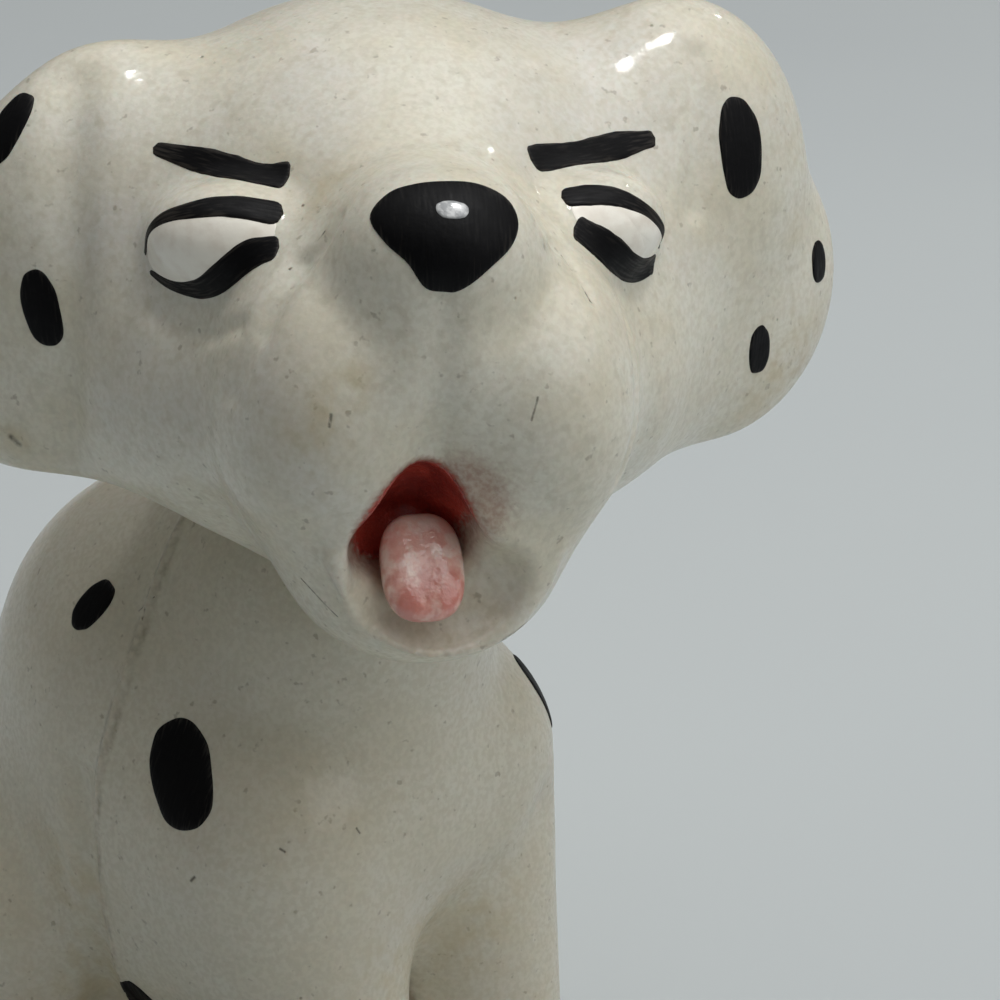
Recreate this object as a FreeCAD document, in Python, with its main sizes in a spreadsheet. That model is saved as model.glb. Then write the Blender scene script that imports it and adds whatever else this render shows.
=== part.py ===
import FreeCAD, Part
import math
import os

from FreeCAD import Placement, Rotation, Vector

# A small sitting puppy with a spotted coat and its head thrown up in a yawn. Two hollow castings are stuck
# together at the neck, a tongue lies in the mouth, and the colours are brush-laid films of enamel.
# Millimetres, +Z up. The puppy faces -Y, and the origin is on its flat base, under the chest.

doc = FreeCAD.newDocument("spotted_puppy")

# A mass is an egg-shaped swelling of the form: wide along X, deep along Y and high along Z.
MASS_SIZES = {
    "skull": (45.0, 44.0, 39.0),
    "cheek": (20.0, 30.0, 24.4),
    "throat": (30.0, 28.0, 24.0),
    "bridge": (16.8, 30.0, 14.8),
    "flew": (18.6, 25.8, 25.6),
    "lip": (15.0, 24.0, 17.0),
    "jaw": (22.4, 25.0, 20.0),
    "eye_mound": (12.4, 9.2, 8.0),
    "nose_pad": (12.8, 12.0, 9.8),
    "ear_root": (18.0, 13.0, 22.0),
    "ear_flap": (29.6, 10.8, 26.4),
    "ear_crown": (18.0, 12.0, 19.2),
    "chest": (39.0, 48.0, 46.0),
    "brisket": (31.0, 28.0, 38.0),
    "neck": (28.0, 28.0, 24.0),
    "rump": (42.0, 50.0, 44.0),
    "thigh": (22.0, 33.0, 31.0),
    "belly": (25.0, 40.0, 28.0),
    "shoulder": (19.0, 28.0, 30.0),
    "fore_paw": (14.8, 20.0, 11.6),
    "hind_paw": (13.6, 26.0, 10.4),
    "mouth_hollow": (9.4, 18.0, 9.2),
    "mouth_peak": (7.2, 16.0, 10.4),
    "lip_dish": (14.0, 12.0, 9.6),
    "tongue": (6.8, 11.4, 5.2),
}

OTHER_SIZES = {
    "sitting_height": 66.0,
    "elbow_thick": 20.4,
    "wrist_thick": 14.0,
    "tail_root_thick": 10.4,
    "tail_middle_thick": 9.2,
    "tail_tip_thick": 6.4,
    "broad_blend": 6.0,
    "ear_blend": 7.0,
    "limb_blend": 4.0,
    "fine_blend": 2.0,
    "wall": 3.5,
    "base_thick": 4.0,
    "pour_hole_wide": 9.0,
    "neck_hole_wide": 8.0,
    "bond_thick": 0.5,
    "lining_thick": 0.3,
    "enamel_thick": 0.2,
    "brush_reach": 4.0,
    "nose_wide": 12.4,
    "nose_high": 9.2,
    "glint_wide": 2.6,
    "glint_high": 1.7,
    "eye_long": 7.6,
    "spot_long": 9.0,
    "spot_wide": 5.0,
}

sheet = doc.addObject("Spreadsheet::Sheet", "Sizes")


def fill_sheet():
    """One row for each driving size, with its alias."""
    sizes = {}
    for mass, extents in MASS_SIZES.items():
        for way, extent in zip(("wide", "deep", "high"), extents):
            sizes[f"{mass}_{way}"] = extent
    sizes.update(OTHER_SIZES)
    for row, (alias, value) in enumerate(sizes.items(), start=1):
        sheet.set(f"A{row}", alias)
        sheet.set(f"B{row}", str(value))
        sheet.setAlias(f"B{row}", alias)
    doc.recompute()


fill_sheet()


def size(alias):
    """The number in the cell with this alias."""
    return float(sheet.get(alias))


ACROSS, BACK, UP = Vector(1, 0, 0), Vector(0, 1, 0), Vector(0, 0, 1)
NO_TURN = Rotation()


def half_sizes(mass):
    return Vector(size(f"{mass}_wide") / 2, size(f"{mass}_deep") / 2, size(f"{mass}_high") / 2)


def head_place(shares):
    """A point in the head's own frame, from shares of the skull's half sizes."""
    half = half_sizes("skull")
    return Vector(shares[0] * half.x, shares[1] * half.y, shares[2] * half.z)


def body_place(shares):
    """A point of the body, from shares of the chest's half width and depth and of the sitting height."""
    half = half_sizes("chest")
    return Vector(shares[0] * half.x, shares[1] * half.y, shares[2] * size("sitting_height"))


# Each row: the mass, its place, its turn, whether it is one of a pair, and its blend into what is before it.
SKULL_SHARES = [
    ("skull", (0.0, 0.18, 0.26), NO_TURN, False, None),
    ("cheek", (0.60, -0.09, -0.215), NO_TURN, True, "broad_blend"),
    ("throat", (0.0, -0.09, -0.56), NO_TURN, False, "broad_blend"),
    ("bridge", (0.0, -0.70, 0.33), NO_TURN, False, "broad_blend"),
    ("flew", (0.31, -0.755, -0.185), Rotation(BACK, -8), True, "limb_blend"),
    ("lip", (0.0, -0.84, 0.03), NO_TURN, False, "limb_blend"),
    ("jaw", (0.004, -0.66, -0.80), NO_TURN, False, "limb_blend"),
    ("eye_mound", (0.604, -0.61, 0.41), Rotation(UP, 35), True, "fine_blend"),
    ("nose_pad", (0.0, -1.155, 0.39), NO_TURN, False, "limb_blend"),
]
EAR_SHARES = [
    ("ear_root", (0.98, 0.09, 0.51), Rotation(BACK, -12), False, None),
    ("ear_flap", (1.21, 0.136, 0.01), Rotation(UP, 33), False, "ear_blend"),
]
# The puppy's left ear stands higher than the other.
EAR_CROWN_SHARES = [
    ("ear_crown", (1.11, 0.114, 0.677), Rotation(UP, 25), False, "ear_blend"),
]
TORSO_SHARES = [
    ("chest", (0.0, 0.333, 0.636), NO_TURN, False, None),
    ("brisket", (0.0, -0.208, 0.545), NO_TURN, False, "broad_blend"),
    ("neck", (0.0, -0.167, 0.879), NO_TURN, False, "ear_blend"),
    ("rump", (0.0, 0.875, 0.303), NO_TURN, False, "ear_blend"),
    ("thigh", (0.846, 1.063, 0.242), Rotation(ACROSS, -12), True, "limb_blend"),
    ("belly", (0.0, 0.083, 0.091), NO_TURN, False, "limb_blend"),
    ("shoulder", (0.564, -0.042, 0.455), NO_TURN, True, "broad_blend"),
]
# A tapering limb: its two places, the sizes that are its thickness there, if it is a pair, and its blend.
FORELEG_SHARES = [
    ((0.513, -0.333, 0.576), (0.451, -0.625, 0.091), "elbow_thick", "wrist_thick", True, "limb_blend"),
]
TAIL_SHARES = [
    ((0.205, 1.79, 0.091), (-0.46, 1.81, 0.073), "tail_root_thick", "tail_middle_thick", False, None),
    ((-0.46, 1.81, 0.073), (-1.13, 1.5, 0.061), "tail_middle_thick", "tail_tip_thick", False, "limb_blend"),
]
FORE_PAW_SHARES = (0.46, -0.854, 0.076)
HIND_PAW_SHARES = (0.974, 0.167, 0.073)
HIND_PAW_TURN = Rotation(UP, -6)

# How the head sits on the neck: turned towards the puppy's right, nose up, and leaning a little.
HEAD_SEAT_SHARES = (0.0, -0.517, 1.2576)
HEAD_TURN = Rotation(UP, -36) * Rotation(ACROSS, -14) * Rotation(BACK, 2)


def egg(middle, half, turn):
    """The distance, near enough, from a point to an ellipsoid: below zero inside it."""
    across, along, up = (turn.multVec(axis) for axis in (ACROSS, BACK, UP))

    def distance(x, y, z):
        x, y, z = x - middle.x, y - middle.y, z - middle.z
        u = (x * across.x + y * across.y + z * across.z) / half.x
        v = (x * along.x + y * along.y + z * along.z) / half.y
        w = (x * up.x + y * up.y + z * up.z) / half.z
        near = math.sqrt(u * u + v * v + w * w)
        steep = math.sqrt((u / half.x) ** 2 + (v / half.y) ** 2 + (w / half.z) ** 2)
        return near * (near - 1) / steep if steep else -half.z

    return distance


def limb(start, end, start_radius, end_radius):
    """The distance, near enough, from a point to a round limb that tapers from start to end."""
    run = end - start
    square = run.dot(run)

    def distance(x, y, z):
        x, y, z = x - start.x, y - start.y, z - start.z
        along = min(1.0, max(0.0, (x * run.x + y * run.y + z * run.z) / square))
        off = math.sqrt((x - along * run.x) ** 2 + (y - along * run.y) ** 2 + (z - along * run.z) ** 2)
        return off - start_radius - (end_radius - start_radius) * along

    return distance


def eggs(rows, place):
    """The masses of a table, as (distance, paired, blend)."""
    masses = []
    for mass, shares, turn, paired, blend in rows:
        masses.append((egg(place(shares), half_sizes(mass), turn), paired, size(blend) if blend else None))
    return masses


def limbs(rows):
    """The limbs of a table, as (distance, paired, blend)."""
    masses = []
    for start, end, start_thick, end_thick, paired, blend in rows:
        form = limb(body_place(start), body_place(end), size(start_thick) / 2, size(end_thick) / 2)
        masses.append((form, paired, size(blend) if blend else None))
    return masses


def melted(masses):
    """One smooth form: each mass melts into those before it over its blend. A paired mass has two sides."""

    def distance(x, y, z):
        total = None
        for form, paired, blend in masses:
            near = form(abs(x) if paired else x, y, z)
            if total is None:
                total = near
            else:
                overlap = max(blend - abs(total - near), 0.0) / blend
                total = min(total, near) - overlap * overlap * blend / 4
        return total

    return distance


def mirrored(form):
    """The same form on the puppy's other side."""

    def distance(x, y, z):
        return form(-x, y, z)

    return distance


def other_side(point):
    """A point's or a direction's like on the puppy's other side."""
    return Vector(-point.x, point.y, point.z)


# A form's surface is found along rays from a point inside it. These say how the search steps and stops.
SEARCH_STEP_SHARE = 0.7
SEARCH_STOP_SHARE = 0.00002
SEARCH_STEPS = 120


def surface_point(form, core, way, level, reach):
    """The outermost point on a ray where the form's distance is level, searched inwards from reach."""
    far = reach
    for _ in range(SEARCH_STEPS):
        point = core + way * far
        gap = form(point.x, point.y, point.z) - level
        if abs(gap) < SEARCH_STOP_SHARE * reach:
            break
        far -= SEARCH_STEP_SHARE * gap
    return core + way * far


def outward(form, point, reach):
    """The form's unit normal at a point, from its slope."""
    step = SEARCH_STOP_SHARE * reach
    slope = [form(*(point + axis * step)) - form(*(point - axis * step)) for axis in (ACROSS, BACK, UP)]
    return Vector(*slope).normalize()


DEGREE_COUNT = 3
END_KNOT_COUNT = DEGREE_COUNT + 1


def rounded_solid(rows):
    """A closed solid from rows of points, one round the other, whose first and last rows are single points
    repeated. A cubic surface takes the points as its control points, so it is smooth all over."""
    spans, rays = len(rows) - DEGREE_COUNT, len(rows[0])
    surface = Part.BSplineSurface()
    surface.buildFromPolesMultsKnots(
        rows,
        [END_KNOT_COUNT] + [1] * (spans - 1) + [END_KNOT_COUNT],
        [1] * (rays + 1),
        list(range(spans + 1)),
        list(range(rays + 1)),
        False,
        True,
        DEGREE_COUNT,
        DEGREE_COUNT,
    )
    return Part.Solid(Part.Shell([surface.toShape()]))


# Beside each pole the rows are closer, and these many of them are left out of the mend across the rows.
NEXT_TO_POLE_SHARE = 1 / 3
POLE_ROW_COUNT = 3
# A cubic surface passes its control point at this share of the point's offset from its neighbours.
CUBIC_SAG_SHARE = 1 / 6


def drawn_out(rows):
    """The rows with each point moved out by what the cubic surface would fall short of it."""
    moved = []
    for index, row in enumerate(rows):
        inner = POLE_ROW_COUNT <= index < len(rows) - POLE_ROW_COUNT
        new_row = []
        for ray, point in enumerate(row):
            offset = point * 2 - row[ray - 1] - row[(ray + 1) % len(row)]
            if inner:
                offset += point * 2 - rows[index - 1][ray] - rows[index + 1][ray]
            new_row.append(point + offset * CUBIC_SAG_SHARE)
        moved.append(new_row)
    return moved


def skin(form, core, axis, reach, level, rings, rays):
    """A closed solid over a form: rings of surface points open round an axis from one pole to the other."""
    helper = UP if abs(axis.z) < abs(axis.x) + abs(axis.y) else BACK
    side = helper.cross(axis).normalize()
    third = axis.cross(side)
    rows = []
    for ring in (0, NEXT_TO_POLE_SHARE, *range(1, rings), rings - NEXT_TO_POLE_SHARE, rings):
        open_angle = math.pi * ring / rings
        row = []
        for ray in range(rays):
            around = 2 * math.pi * ray / rays
            spoke = side * math.cos(around) + third * math.sin(around)
            way = axis * math.cos(open_angle) + spoke * math.sin(open_angle)
            row.append(surface_point(form, core, way, level, reach))
        rows.append(row)
    rows = drawn_out(rows)
    rows[0] = [rows[0][0]] * rays
    rows[-1] = [rows[-1][0]] * rays
    return rounded_solid(rows)


# The forms: what is modelled, and the point inside each from which its surface is seen.
skull_form = melted(eggs(SKULL_SHARES, head_place))
head_hollow_form = melted(eggs(SKULL_SHARES[:3], head_place))
ear_form = melted(eggs(EAR_SHARES + EAR_CROWN_SHARES, head_place))
other_ear_form = mirrored(melted(eggs(EAR_SHARES, head_place)))
torso_form = melted(eggs(TORSO_SHARES, body_place) + limbs(FORELEG_SHARES))
body_hollow_form = melted(eggs(TORSO_SHARES[:5], body_place))
tail_form = melted(limbs(TAIL_SHARES))

SKULL_CORE = head_place((0.0, -0.14, -0.10))
EAR_CORE = head_place((1.16, 0.12, 0.10))
BODY_CORE = body_place((0.0, 0.25, 0.424))
TAIL_CORE = body_place((-0.46, 1.80, 0.073))
SEARCH_REACH_SHARE = 2
HEAD_REACH = SEARCH_REACH_SHARE * size("skull_wide")
BODY_REACH = SEARCH_REACH_SHARE * size("chest_deep")
HEAD_SEAT = Placement(body_place(HEAD_SEAT_SHARES), HEAD_TURN)


def feature(name, shape):
    """A shape worked out here, kept in the document."""
    made = doc.addObject("Part::Feature", name)
    made.Shape = shape
    return made


def ellipsoid(name, mass, middle, turn=NO_TURN, grown=None):
    """An ellipsoid of a mass's size, or larger all round by another size."""
    made = doc.addObject("Part::Ellipsoid", name)
    more = f" + Sizes.{grown}" if grown else ""
    made.setExpression("Radius1", f"Sizes.{mass}_high / 2{more}")
    made.setExpression("Radius2", f"Sizes.{mass}_wide / 2{more}")
    made.setExpression("Radius3", f"Sizes.{mass}_deep / 2{more}")
    made.Placement = Placement(middle, turn)
    return made


def upright_bar(name, alias, foot, length):
    """An upright round bar whose width is a driving size."""
    made = doc.addObject("Part::Cylinder", name)
    made.setExpression("Radius", f"Sizes.{alias} / 2")
    made.Height = length
    made.Placement = Placement(foot, NO_TURN)
    return made


def block_above(name, height):
    """A block over the whole body, from a height upwards."""
    made = doc.addObject("Part::Box", name)
    for side in ("Length", "Width", "Height"):
        setattr(made, side, 2 * BODY_REACH)
    made.Placement = Placement(Vector(-BODY_REACH, -BODY_REACH, height), NO_TURN)
    return made


def fused(name, *pieces):
    """Several objects joined into one."""
    made = doc.addObject("Part::MultiFuse", name)
    made.Shapes = list(pieces)
    return made


def common(name, *pieces):
    """What several objects share."""
    made = doc.addObject("Part::MultiCommon", name)
    made.Shapes = list(pieces)
    return made


def cut(name, base, *tools):
    """An object with others taken out of it, one after the other."""
    for number, tool in enumerate(tools, start=1):
        made = doc.addObject("Part::Cut", name if number == len(tools) else f"{name}_step_{number}")
        made.Base = base
        made.Tool = tool
        base = made
    return made


# Rings and rays of each skin. They are counts, so they stay when sizes change.
SKULL_GRID_COUNTS = (22, 48)
EAR_GRID_COUNTS = (14, 28)
TORSO_GRID_COUNTS = (22, 48)
TAIL_GRID_COUNTS = (20, 20)
HOLLOW_GRID_COUNTS = (14, 28)


def skull_skin(level):
    return skin(skull_form, SKULL_CORE, UP, HEAD_REACH, level, *SKULL_GRID_COUNTS)


def torso_skin(level):
    return skin(torso_form, BODY_CORE, UP, BODY_REACH, level, *TORSO_GRID_COUNTS)


# The mouth is a hollow with a peaked roof, painted red, that opens over a bare dish behind the lower lip.
MOUTH_HOLLOW_SHARES = (-0.089, -1.114, -0.79)
MOUTH_PEAK_SHARES = (-0.071, -1.16, -0.635)
LIP_DISH_SHARES = (-0.027, -1.295, -0.974)
TONGUE_SHARES = (-0.045, -0.86, -0.92)
TONGUE_TURN = Rotation(ACROSS, 32)


def mouth_space(name, grown=None):
    """The red part of the mouth's hollow, or one larger all round by a size."""
    hollow = ellipsoid(f"{name}_hollow", "mouth_hollow", head_place(MOUTH_HOLLOW_SHARES), grown=grown)
    peak = ellipsoid(f"{name}_peak", "mouth_peak", head_place(MOUTH_PEAK_SHARES), grown=grown)
    return fused(name, hollow, peak)


def head_outer_form():
    """Skull and muzzle with both ears, solid."""
    skull = feature("skull_skin", skull_skin(0.0))
    ear = skin(ear_form, EAR_CORE, ACROSS, HEAD_REACH, 0.0, *EAR_GRID_COUNTS)
    other_ear = skin(other_ear_form, other_side(EAR_CORE), -ACROSS, HEAD_REACH, 0.0, *EAR_GRID_COUNTS)
    return fused("head_outside", skull, feature("ear_skin", ear), feature("other_ear_skin", other_ear))


def head_pieces(outside):
    """The head's hollow casting, the red lining of its mouth and its tongue, in the head's own frame."""
    painted_space = mouth_space("painted_mouth")
    bare_space = mouth_space("bare_mouth", grown="lining_thick")
    walled_space = mouth_space("walled_mouth", grown="wall")
    dish = ellipsoid("lip_dish", "lip_dish", head_place(LIP_DISH_SHARES))
    hollow_skin = skin(head_hollow_form, SKULL_CORE, UP, HEAD_REACH, -size("wall"), *HOLLOW_GRID_COUNTS)
    hollow = cut("head_hollow", feature("head_hollow_skin", hollow_skin), walled_space)
    # The hole through which the slurry was poured, under the head, which the neck covers.
    pour_hole = upright_bar("head_pour_hole", "neck_hole_wide", SKULL_CORE - UP * HEAD_REACH, HEAD_REACH)
    casting = cut("head_casting", outside, hollow, pour_hole, bare_space, dish)

    bare_mouth_in_head = common("bare_mouth_in_head", outside, bare_space)
    lining = cut("mouth_lining", bare_mouth_in_head, painted_space, dish)
    tongue_egg = ellipsoid("tongue_egg", "tongue", head_place(TONGUE_SHARES), TONGUE_TURN)
    tongue = common("tongue", tongue_egg, fused("open_mouth", painted_space, dish))
    return [casting, lining, tongue]


POUR_HOLE_SHARES = (0.0, 0.75, 0.0)


def paws():
    """Two forepaws under the chest and two hind paws beside them."""
    made = []
    for name, shares, turn in (
        ("fore_paw", FORE_PAW_SHARES, NO_TURN),
        ("hind_paw", HIND_PAW_SHARES, HIND_PAW_TURN),
    ):
        across, forward, up = shares
        made.append(ellipsoid(name, name, body_place((across, forward, up)), turn))
        made.append(ellipsoid(f"other_{name}", name, body_place((-across, forward, up)), turn.inverted()))
    return made


def body_pieces(head_outside):
    """The body's hollow casting, seated round the underside of the head, and the band of plaster between."""
    torso = feature("torso_skin", torso_skin(0.0))
    tail = feature("tail_skin", skin(tail_form, TAIL_CORE, ACROSS, BODY_REACH, 0.0, *TAIL_GRID_COUNTS))
    masses = fused("body_masses", torso, tail, *paws())
    outside = common("body_outside", masses, block_above("above_floor", 0.0))

    hollow_skin = skin(body_hollow_form, BODY_CORE, UP, BODY_REACH, -size("wall"), *HOLLOW_GRID_COUNTS)
    above_base = block_above("above_base", size("base_thick"))
    hollow = common("body_hollow", feature("body_hollow_skin", hollow_skin), above_base)
    # The hole through which the slurry was poured, from under the rump up into the hollow.
    below_floor = body_place(POUR_HOLE_SHARES) - UP * size("base_thick")
    pour_hole = upright_bar("body_pour_hole", "pour_hole_wide", below_floor, BODY_CORE.z)
    shell = cut("body_shell", outside, hollow, pour_hole)

    bedded = feature("head_with_bond", skull_skin(size("bond_thick")))
    bedded.Placement = HEAD_SEAT
    seated = feature("head_in_its_seat", head_outside.Shape.copy())
    seated.Placement = HEAD_SEAT
    casting = cut("body_casting", shell, bedded)
    bond = cut("neck_bond", common("shell_in_seat", shell, bedded), seated)
    return [casting, bond]


# Films of enamel, thin pillows on a form. A film's place is its (turn, lift) in degrees from a point inside
# the form: 0 is straight ahead, turn grows towards +X and lift upwards. Outlines are shares of half sizes.
NOSE_OUTLINE_SHARES = [
    (0.0, 1.0), (-0.36, 0.96), (-0.72, 0.8), (-1.0, 0.3), (-0.8, -0.2), (-0.45, -0.75), (0.0, -1.0),
    (0.45, -0.75), (0.8, -0.2), (1.0, 0.3), (0.72, 0.8), (0.36, 0.96),
]
OVAL_POINT_COUNT = 12
FILM_RING_SHARES = [0.0, 0.12, 0.35, 0.65, 0.9, 1.0, 1.0]
# A brush stroke from its blunt inner end to its thin outer one: places along it and its half width there.
STROKE_SWELL_SHARES = [
    (-1.0, 0.0), (-0.99, 0.5), (-0.9, 0.95), (-0.6, 1.0), (-0.2, 0.95), (0.2, 0.8), (0.6, 0.6), (0.9, 0.3),
    (1.0, 0.0),
]
# Round the section of a stroke: share of the half width, and share of the film's thickness.
STROKE_SECTION_SHARES = [
    (-1.0, 0.5), (-0.8, 1.0), (0.0, 1.1), (0.8, 1.0), (1.0, 0.5), (0.8, 0.0), (0.0, 0.0), (-0.8, 0.0),
]


def nose_outline():
    """A triangle with round corners, point down."""
    half_wide, half_high = size("nose_wide") / 2, size("nose_high") / 2
    return [Vector(across * half_wide, up * half_high, 0) for across, up in NOSE_OUTLINE_SHARES]


def oval_outline(wide, high):
    """An upright oval."""
    points = []
    for index in range(OVAL_POINT_COUNT):
        around = 2 * math.pi * index / OVAL_POINT_COUNT
        points.append(Vector(math.cos(around) * wide / 2, math.sin(around) * high / 2, 0))
    return points


def direction(turn, lift):
    """The unit vector at a turn and a lift in degrees."""
    turn, lift = math.radians(turn), math.radians(lift)
    return Vector(math.sin(turn) * math.cos(lift), -math.cos(turn) * math.cos(lift), math.sin(lift))


class Painted:
    """A painted form, the point from which its places are seen, and how far a search of it reaches."""

    def __init__(self, form, core, reach):
        self.form, self.core, self.reach = form, core, reach

    def easel(self, place, tilt):
        """Where a film's flat plan is laid against the form: its middle, its normal and its turn."""
        middle = surface_point(self.form, self.core, direction(*place), 0.0, self.reach)
        normal = outward(self.form, middle, self.reach)
        return middle, normal, Rotation(UP.cross(normal), UP, normal, "ZXY") * Rotation(UP, tilt)

    def beside(self, place, across, up):
        """The place so far across and up from another one, on the plane that touches the form there."""
        middle, _, turn = self.easel(place, 0)
        way = middle + turn.multVec(Vector(across, up, 0)) - self.core
        return math.degrees(math.atan2(way.x, -way.y)), math.degrees(math.asin(way.z / way.Length))

    def laid(self, easel, point, level):
        """A point of the flat plan, brought along the normal on to the form, a level above it."""
        middle, normal, turn = easel
        foot = middle + turn.multVec(point) - normal * size("brush_reach")
        return surface_point(self.form, foot, normal, level, 2 * size("brush_reach"))

    def patch(self, place, outline, tilt=0, under=0.0):
        """A film over an outline, above what is under it."""
        easel = self.easel(place, tilt)
        centre = sum(outline, Vector()) / len(outline)
        top, bottom = under + size("enamel_thick"), under
        rings = [(top, ring) for ring in FILM_RING_SHARES]
        rings += [(bottom, ring) for ring in FILM_RING_SHARES[::-1]]
        rows = []
        for level, ring in rings:
            rows.append([self.laid(easel, centre + (point - centre) * ring, level) for point in outline])
        return rounded_solid(rows)

    def stroke(self, place, long, thick, bow_share, tilt, side):
        """A film along a brush stroke, bowed up by a share of half its length. Its side is 1 or -1, and its
        inner end lies towards the middle of the face."""
        turn, lift = place
        easel = self.easel((side * turn, lift), side * tilt)
        rows = []
        for along, swell in STROKE_SWELL_SHARES:
            bow = bow_share * (1 - along * along) * long / 2
            row = []
            for across, thickness in STROKE_SECTION_SHARES:
                up = bow + side * across * swell * thick / 2
                point = Vector(side * along * long / 2, up, 0)
                row.append(self.laid(easel, point, thickness * size("enamel_thick")))
            rows.append(row)
        rows[0] = [rows[0][0]] * len(rows[0])
        rows[-1] = [rows[-1][0]] * len(rows[-1])
        return rounded_solid(rows)

    def eye_strokes(self, stroke_shares, bow_share, tilt):
        """A stroke beside the left eye and its like beside the right one, from its offset from the middle
        of the eye, its length and its thickness as shares of the length of the eye."""
        across, up, long, thick = (share * size("eye_long") for share in stroke_shares)
        place = self.beside(EYE_PLACE, across, up)
        return [self.stroke(place, long, thick, bow_share, tilt, side) for side in (1, -1)]

    def spots(self, rows):
        """Oval spots, from rows of place, (length, width) as shares of the driving spot, and tilt."""
        films = []
        for place, shares, tilt in rows:
            outline = oval_outline(shares[1] * size("spot_wide"), shares[0] * size("spot_long"))
            films.append(self.patch(place, outline, tilt))
        return films


NOSE_PLACE, GLINT_PLACE = (0, 21), (0, 24.5)
EYE_PLACE, EYE_HIGH_SHARE, EYE_TILT = (47.6, 23.3), 0.47, -18
# A stroke's offset across and up from the eye's middle, its length and its thickness, then its bow and tilt.
BROW_STROKE_SHARES, BROW_BOW_SHARE, BROW_TILT = (0.78, 1.867, 1.447, 0.237), 0.0, 4
UPPER_LID_SHARES, UPPER_LID_BOW_SHARE, UPPER_LID_TILT = (-0.025, 0.09, 1.5, 0.25), 0.40, -21
LOWER_LID_SHARES, LOWER_LID_BOW_SHARE, LOWER_LID_TILT = (0.009, -0.17, 1.5, 0.25), -0.32, -16
# Rows of spots: place, length and width as shares of the driving spot, and tilt in degrees.
NAPE_SPOT_SHARES = [
    ((150, 35), (0.8, 0.9), 20), ((-165, 5), (0.9, 1.0), -30), ((172, 62), (0.5, 0.7), 60),
]
EAR_SPOT_SHARES = [
    ((18, 58), (0.85, 0.72), 0), ((54, -51), (0.45, 0.5), -10), ((100, -2), (0.37, 0.5), 0),
    ((-150, 10), (0.8, 0.8), 15),
]
OTHER_EAR_SPOT_SHARES = [
    ((-40, 66), (0.7, 0.65), -15), ((-11, -7), (0.62, 0.6), 0), ((140, -5), (0.7, 0.8), 0),
]
BODY_SPOT_SHARES = [
    ((-98, 58), (0.6, 0.65), -22), ((-57, 37), (1.05, 1.25), 33), ((41, 31), (0.8, 0.8), 0),
    ((-75, -28), (0.75, 0.9), 10), ((88, 30), (0.9, 0.9), 25), ((112, -8), (0.8, 1.0), -20),
    ((168, 35), (0.9, 1.0), 5), ((-150, 8), (1.0, 0.9), 35), ((-125, 4), (0.7, 0.8), -15),
    ((152, -12), (0.7, 0.8), 50), ((75, -22), (0.6, 0.7), 0),
]


def films_feature(name, films):
    """All the films of one kind, kept as separate solids of one object."""
    return feature(name, Part.makeCompound(films))


def head_films():
    """Nose, glint, brows, lids, eye whites and spots, in the head's own frame."""
    skull = Painted(skull_form, SKULL_CORE, HEAD_REACH)
    ear = Painted(ear_form, EAR_CORE, HEAD_REACH)
    other_ear = Painted(other_ear_form, other_side(EAR_CORE), HEAD_REACH)
    glint = oval_outline(size("glint_wide"), size("glint_high"))
    white = oval_outline(size("eye_long"), EYE_HIGH_SHARE * size("eye_long"))
    brows = skull.eye_strokes(BROW_STROKE_SHARES, BROW_BOW_SHARE, BROW_TILT)
    upper_lids = skull.eye_strokes(UPPER_LID_SHARES, UPPER_LID_BOW_SHARE, UPPER_LID_TILT)
    lower_lids = skull.eye_strokes(LOWER_LID_SHARES, LOWER_LID_BOW_SHARE, LOWER_LID_TILT)
    turn, lift = EYE_PLACE
    whites = [skull.patch((side * turn, lift), white, side * EYE_TILT) for side in (1, -1)]
    spots = skull.spots(NAPE_SPOT_SHARES) + ear.spots(EAR_SPOT_SHARES)
    spots += other_ear.spots(OTHER_EAR_SPOT_SHARES)
    return [
        films_feature("nose_enamel", [skull.patch(NOSE_PLACE, nose_outline())]),
        films_feature("nose_glint", [skull.patch(GLINT_PLACE, glint, under=size("enamel_thick"))]),
        films_feature("brow_strokes", brows),
        films_feature("upper_lid_strokes", upper_lids),
        films_feature("lower_lid_strokes", lower_lids),
        films_feature("eye_whites", whites),
        films_feature("head_spots", spots),
    ]


def body_films():
    """The coat's spots on the body."""
    torso = Painted(torso_form, BODY_CORE, BODY_REACH)
    return [films_feature("body_spots", torso.spots(BODY_SPOT_SHARES))]


def check(pieces):
    """Stop if any object failed, or a solid of any piece is empty, inside out or not valid."""
    for made in doc.Objects:
        if {"Invalid", "Error"} & set(made.State):
            raise RuntimeError(f"{made.Name} failed: {made.State}")
    for piece in pieces:
        solids = [] if piece.Shape.isNull() else piece.Shape.Solids
        if not solids or not piece.Shape.isValid() or min(solid.Volume for solid in solids) <= 0:
            raise RuntimeError(f"{piece.Name} has no valid solid")


head_outside = head_outer_form()
doc.recompute()
on_head = head_pieces(head_outside) + head_films()
on_body = body_pieces(head_outside) + body_films()
doc.recompute()
for piece in on_head:
    piece.Placement = HEAD_SEAT
check(on_head + on_body)

os.makedirs("parts", exist_ok=True)
for piece in on_head + on_body:
    piece.Label = piece.Name
    piece.Shape.exportStep(f"parts/{piece.Label}.step")
    print(piece.Label, len(piece.Shape.Solids), "solids", round(piece.Shape.Volume, 1), "mm3")
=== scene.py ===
from math import cos, pi, radians, sin

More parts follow.
